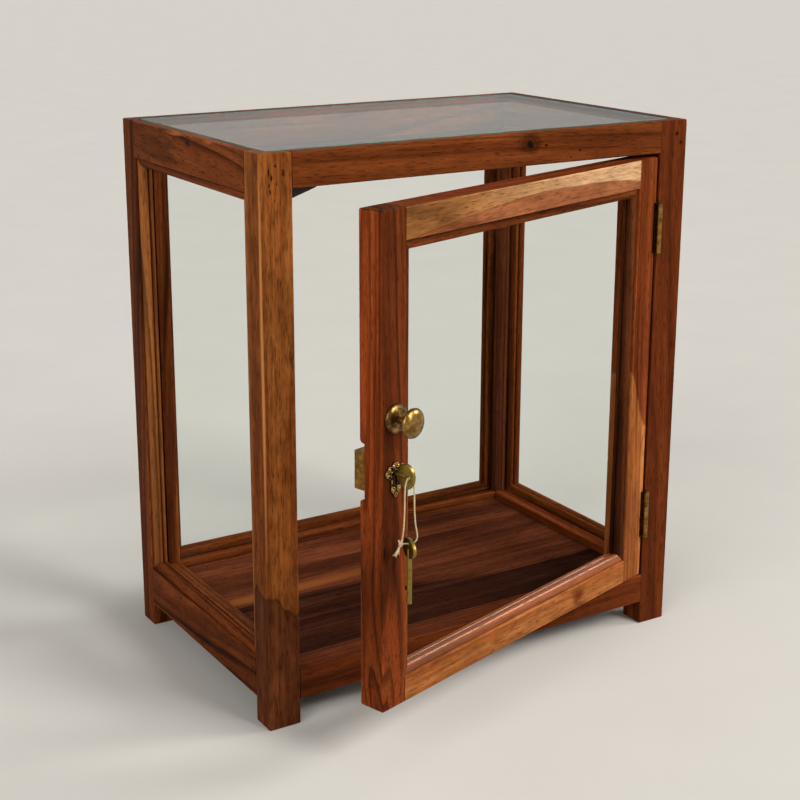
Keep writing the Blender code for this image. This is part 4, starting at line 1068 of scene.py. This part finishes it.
def slab_mesh(outlines):
    """A flat plate that stands on zero, with the later outlines as holes."""
    curve = bpy.data.curves.new("slab", "CURVE")
    curve.dimensions = "2D"
    curve.fill_mode = "BOTH"
    curve.extrude = PLATE_SLAB / 2
    for outline in outlines:
        spline = curve.splines.new("POLY")
        spline.points.add(len(outline) - 1)
        for point, place in zip(spline.points, outline):
            point.co = (place.x, place.y, 0, 1)
        spline.use_cyclic_u = True
    holder = link_object("slab", curve)
    mesh = evaluated_mesh(holder)
    bpy.data.objects.remove(holder)
    bpy.data.curves.remove(curve)
    mesh.transform(Matrix.Translation((0, 0, PLATE_SLAB / 2)))
    return mesh


def add_loop(shape, outline, radius):
    """A closed bead along an outline on the slab."""
    route = [Vector((place.x, place.y, PLATE_SLAB)) for place in outline]
    add_tube(shape, route + route[:2], radius, TUBE_SIDES)


def inset(outline, distance):
    """An outline drawn in by a distance."""
    drawn = []
    for before, place, after in zip(outline[-1:] + outline[:-1], outline, outline[1:] + outline[:1]):
        ahead = (after - before).normalized()
        drawn.append(place + Vector((ahead.y, -ahead.x, 0)) * distance)
    return drawn


def add_scroll(shape, centre, outer, tube, start, way):
    """A spiral that winds in from its outer radius to an eye."""
    route = []
    for k in range(SCROLL_STEPS + 1):
        t = k / SCROLL_STEPS
        radius = outer - (outer - SCROLL_EYE) * t
        angle = tau * (start + way * SCROLL_TURNS * t)
        rise = PLATE_SLAB + SCROLL_LIFT + SCROLL_CLIMB * t
        route.append(centre + Vector((radius * cos(angle), radius * sin(angle), rise)))
    add_tube(shape, route, tube, TUBE_SIDES, taper=SCROLL_TAPER)
    eye = Matrix.Translation(centre + UP * (PLATE_SLAB + EYE_LIFT))
    bmesh.ops.create_icosphere(shape, subdivisions=2, radius=EYE_RADIUS, matrix=eye)


def add_leaf(shape, centre, length, width, slant):
    """A long low boss."""
    place = Matrix.Translation(centre + UP * PLATE_SLAB)
    form = Matrix.Rotation(tau * slant, 4, "Z") @ Matrix.Diagonal((length, width, LEAF_HEIGHT, 1))
    bmesh.ops.create_icosphere(shape, subdivisions=3, radius=1.0, matrix=place @ form)


def plate_solids():
    """The slab, its rims, scrolls and leaves, as separate closed shapes in one bmesh."""
    shape = bmesh.new()
    outline = plate_outline()
    slab = slab_mesh([outline, keyhole_outline(0.0)])
    shape.from_mesh(slab)
    bpy.data.meshes.remove(slab)
    add_loop(shape, inset(outline, RIM_INSET), RIM_RADIUS)
    add_loop(shape, keyhole_outline(RIM_INSET), KEYHOLE_RIM_RADIUS)
    for side in (1, -1):
        for across, up, outer, tube, start, way in SCROLLS:
            turned = start if side > 0 else HALF_TURN - start
            add_scroll(shape, Vector((side * across, up, 0)), outer, tube, turned, side * way)
        for across, up, length, width, slant in LEAVES:
            add_leaf(shape, Vector((side * across, up, 0)), length, width, side * slant)
    bmesh.ops.remove_doubles(shape, verts=shape.verts, dist=PLATE_WELD)
    return shape


def remesh(obj):
    """Joins an object's overlapping shapes into one smooth skin."""
    skin = obj.modifiers.new("skin", "REMESH")
    skin.mode = "VOXEL"
    skin.voxel_size = PLATE_VOXEL
    calm = obj.modifiers.new("calm", "SMOOTH")
    calm.iterations = PLATE_SMOOTHING
    mesh = evaluated_mesh(obj)
    obj.modifiers.clear()
    old = obj.data
    obj.data = mesh
    bpy.data.meshes.remove(old)
    mesh.shade_smooth()


plate = link_mesh("ornate_key_plate", plate_solids(), PLATE_BRASS)
remesh(plate)
plate.data.transform(Matrix.Translation(KEY_ON_FACE) @ DOOR_AXES.to_4x4())
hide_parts("escutcheon")
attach(plate, "door")

# Slotted screws in the hinge leaves and in the back of the lock case
SCREW_PROUD = 0.00045
SCREW_BASE = SCREW_PROUD * 0.45
SCREW_TOP_SHARE = 0.86
SCREW_SLOT = 0.0006
SCREW_STEPS = 18
CHEEK_STEPS = SCREW_STEPS // 2
HINGE_SCREW_RADIUS = 0.0023
HINGE_SCREW_SPACING = 0.019
HINGE_SCREW_STAGGER = 0.0028
LEAF_EDGE = 0.001
LOCK_SCREW_RADIUS = 0.0019
LOCK_SCREW_INSET = 0.0045


def add_screw(shape, place, facing, radius, turn):
    """A low screw head with a slot: a round base and two raised cheeks."""
    facing_turn = facing.to_track_quat("Z", "Y").to_matrix().to_4x4() @ Matrix.Rotation(turn, 4, "Z")
    into_place = Matrix.Translation(place) @ facing_turn
    opening = asin(SCREW_SLOT / 2 / radius)
    layers = [(arc(radius, 0.0, tau, SCREW_STEPS)[:-1], 0.0, SCREW_BASE, 1.0)]
    for side in (0, pi):
        cheek = arc(radius, side + opening, pi - 2 * opening, CHEEK_STEPS)
        layers.append((cheek, SCREW_BASE, SCREW_PROUD, SCREW_TOP_SHARE))
    for outline, low, high, share in layers:
        lower = [shape.verts.new(into_place @ Vector((x, y, low))) for x, y in outline]
        upper = [shape.verts.new(into_place @ Vector((x * share, y * share, high))) for x, y in outline]
        shape.faces.new(list(reversed(lower)))
        shape.faces.new(upper)
        for k, first in enumerate(lower):
            following = (k + 1) % len(lower)
            shape.faces.new((first, lower[following], upper[following], upper[k]))


def link_screws(name, places, facing, radius, body):
    shape = bmesh.new()
    chance = random.Random(name)
    for place in places:
        add_screw(shape, place, facing, radius, chance.uniform(0, pi))
    screws = link_mesh(name, shape, HINGE_BRASS)
    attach(screws, body)


def leaf_screws(leaf, facing, body):
    """Three screws on a hinge leaf's open face, staggered."""
    _, places = local_places(leaf)
    turn, low, high = local_box(leaf)
    back = turn.transposed()
    middle = (low + high) / 2
    plate_sides = [place.x for place in places if place.y > high.y - LEAF_EDGE]
    face = max(plate_sides) if facing > 0 else min(plate_sides)
    depth = (middle.y + high.y) / 2
    heads = []
    for k in (-1, 0, 1):
        stagger = HINGE_SCREW_STAGGER * (1 if k else -1)
        heads.append(back @ Vector((face, depth + stagger, middle.z + k * HINGE_SCREW_SPACING)))
    link_screws(f"{leaf}_screws", heads, back @ Vector((facing, 0, 0)), HINGE_SCREW_RADIUS, body)


for height in ("upper", "lower"):
    leaf_screws(f"hinge_{height}_frame_leaf", -1, "cabinet")
    leaf_screws(f"hinge_{height}_door_leaf", 1, "door")
lock_turn, lock_low, lock_high = local_box("lock_case")
lock_places = [
    lock_turn.transposed() @ Vector((x, lock_high.y, z))
    for x in (lock_low.x + LOCK_SCREW_INSET, lock_high.x - LOCK_SCREW_INSET)
    for z in (lock_low.z + LOCK_SCREW_INSET, lock_high.z - LOCK_SCREW_INSET)
]
link_screws("lock_case_screws", lock_places, -OUT, LOCK_SCREW_RADIUS, "door")

# Stage: a pale floor, a pale surround, soft lamps and the camera
FLOOR_SIZE = 40.0
FLOOR_TONE = srgb(214, 211, 205)
FLOOR_LIGHT = (0.985, 1.015)
SURROUND_TONE = srgb(222, 221, 218)
SURROUND_LIGHT = 0.32


def make_floor():
    shape = bmesh.new()
    bmesh.ops.create_grid(shape, x_segments=1, y_segments=1, size=FLOOR_SIZE / 2)
    g, shader, material = new_material("pale_floor")
    grain = g.noise(g.object_place(), grain=6.0, detail=3.0)
    colour = g.brighter(FLOOR_TONE[:3], g.evenly(grain, *NOISE_SPREAD, *FLOOR_LIGHT))
    g.fill(shader, Base_Color=colour, Roughness=0.8, Specular_IOR_Level=0.15)
    floor = link_mesh("floor", shape, material, smooth=False)


def make_world():
    """A surround that shows bright in the picture and in mirrors, and lights the scene less."""
    world = bpy.data.worlds.new("surround")
    SCENE.world = world
    g = bare_graph(world)
    path = g.node("ShaderNodeLightPath").outputs
    seen = g.plus(path["Is Camera Ray"], path["Is Glossy Ray"])
    seen = g.plus(seen, path["Is Transmission Ray"], clamp=True)
    strength = g.evenly(seen, 0.0, 1.0, SURROUND_LIGHT, 1.0)
    background = g.fill(g.node("ShaderNodeBackground"), Color=SURROUND_TONE, Strength=strength)
    g.fill(g.node("ShaderNodeOutputWorld"), Surface=background.outputs[0])


def make_light(name, kind, place, aim=(0.0, 0.0, 0.0), **settings):
    """A sun or a lamp at a place, turned to its aim."""
    data = bpy.data.lights.new(name, kind)
    for setting, value in settings.items():
        setattr(data, setting, value)
    light = link_object(name, data)
    light.location = place
    light.rotation_euler = (Vector(aim) - Vector(place)).to_track_quat("-Z", "Y").to_euler()


# The camera at the photograph's viewing angle
LENS_PIXELS = 1560.0
PHOTO_PIXELS = 800.0
SENSOR = 36.0
CAMERA_PLACE = Vector((-0.937, -1.417, 0.823))
CAMERA_YAW = radians(31.88)
CAMERA_PITCH = radians(15.40)
CAMERA_ROLL = radians(-0.13)
CAMERA_SHIFT = -0.06


def make_camera():
    data = bpy.data.cameras.new("photo_camera")
    data.sensor_width = SENSOR
    data.lens = SENSOR * LENS_PIXELS / PHOTO_PIXELS
    data.shift_y = CAMERA_SHIFT
    camera = link_object("photo_camera", data)
    camera.location = CAMERA_PLACE
    camera.rotation_euler = (pi / 2 - CAMERA_PITCH, CAMERA_ROLL, -CAMERA_YAW)
    SCENE.camera = camera


make_floor()
make_world()
OBJECT_MIDDLE = (0.0, 0.05, 0.3)
WARM_TINT = (1.0, 0.98, 0.95)
make_light("key_sun", "SUN", (1.0, -2.0, 1.9), energy=1.55, angle=radians(24.0), color=(1.0, 0.97, 0.93))
make_light("fill_sun", "SUN", (-2.4, -1.1, 1.5), energy=1.4, angle=radians(40.0), color=(1.0, 0.98, 0.96))
STRIP = {"shape": "RECTANGLE", "size": 0.5, "size_y": 1.6}
make_light("strip_lamp", "AREA", (0.9, -2.4, 1.5), OBJECT_MIDDLE, energy=14.0, color=WARM_TINT, **STRIP)
make_light("rim_sun", "SUN", (2.03, -0.74, 1.04), energy=1.5, angle=radians(20.0), color=WARM_TINT)
make_camera()

SCENE.view_settings.view_transform = "Standard"

bpy.context.view_layer.update()
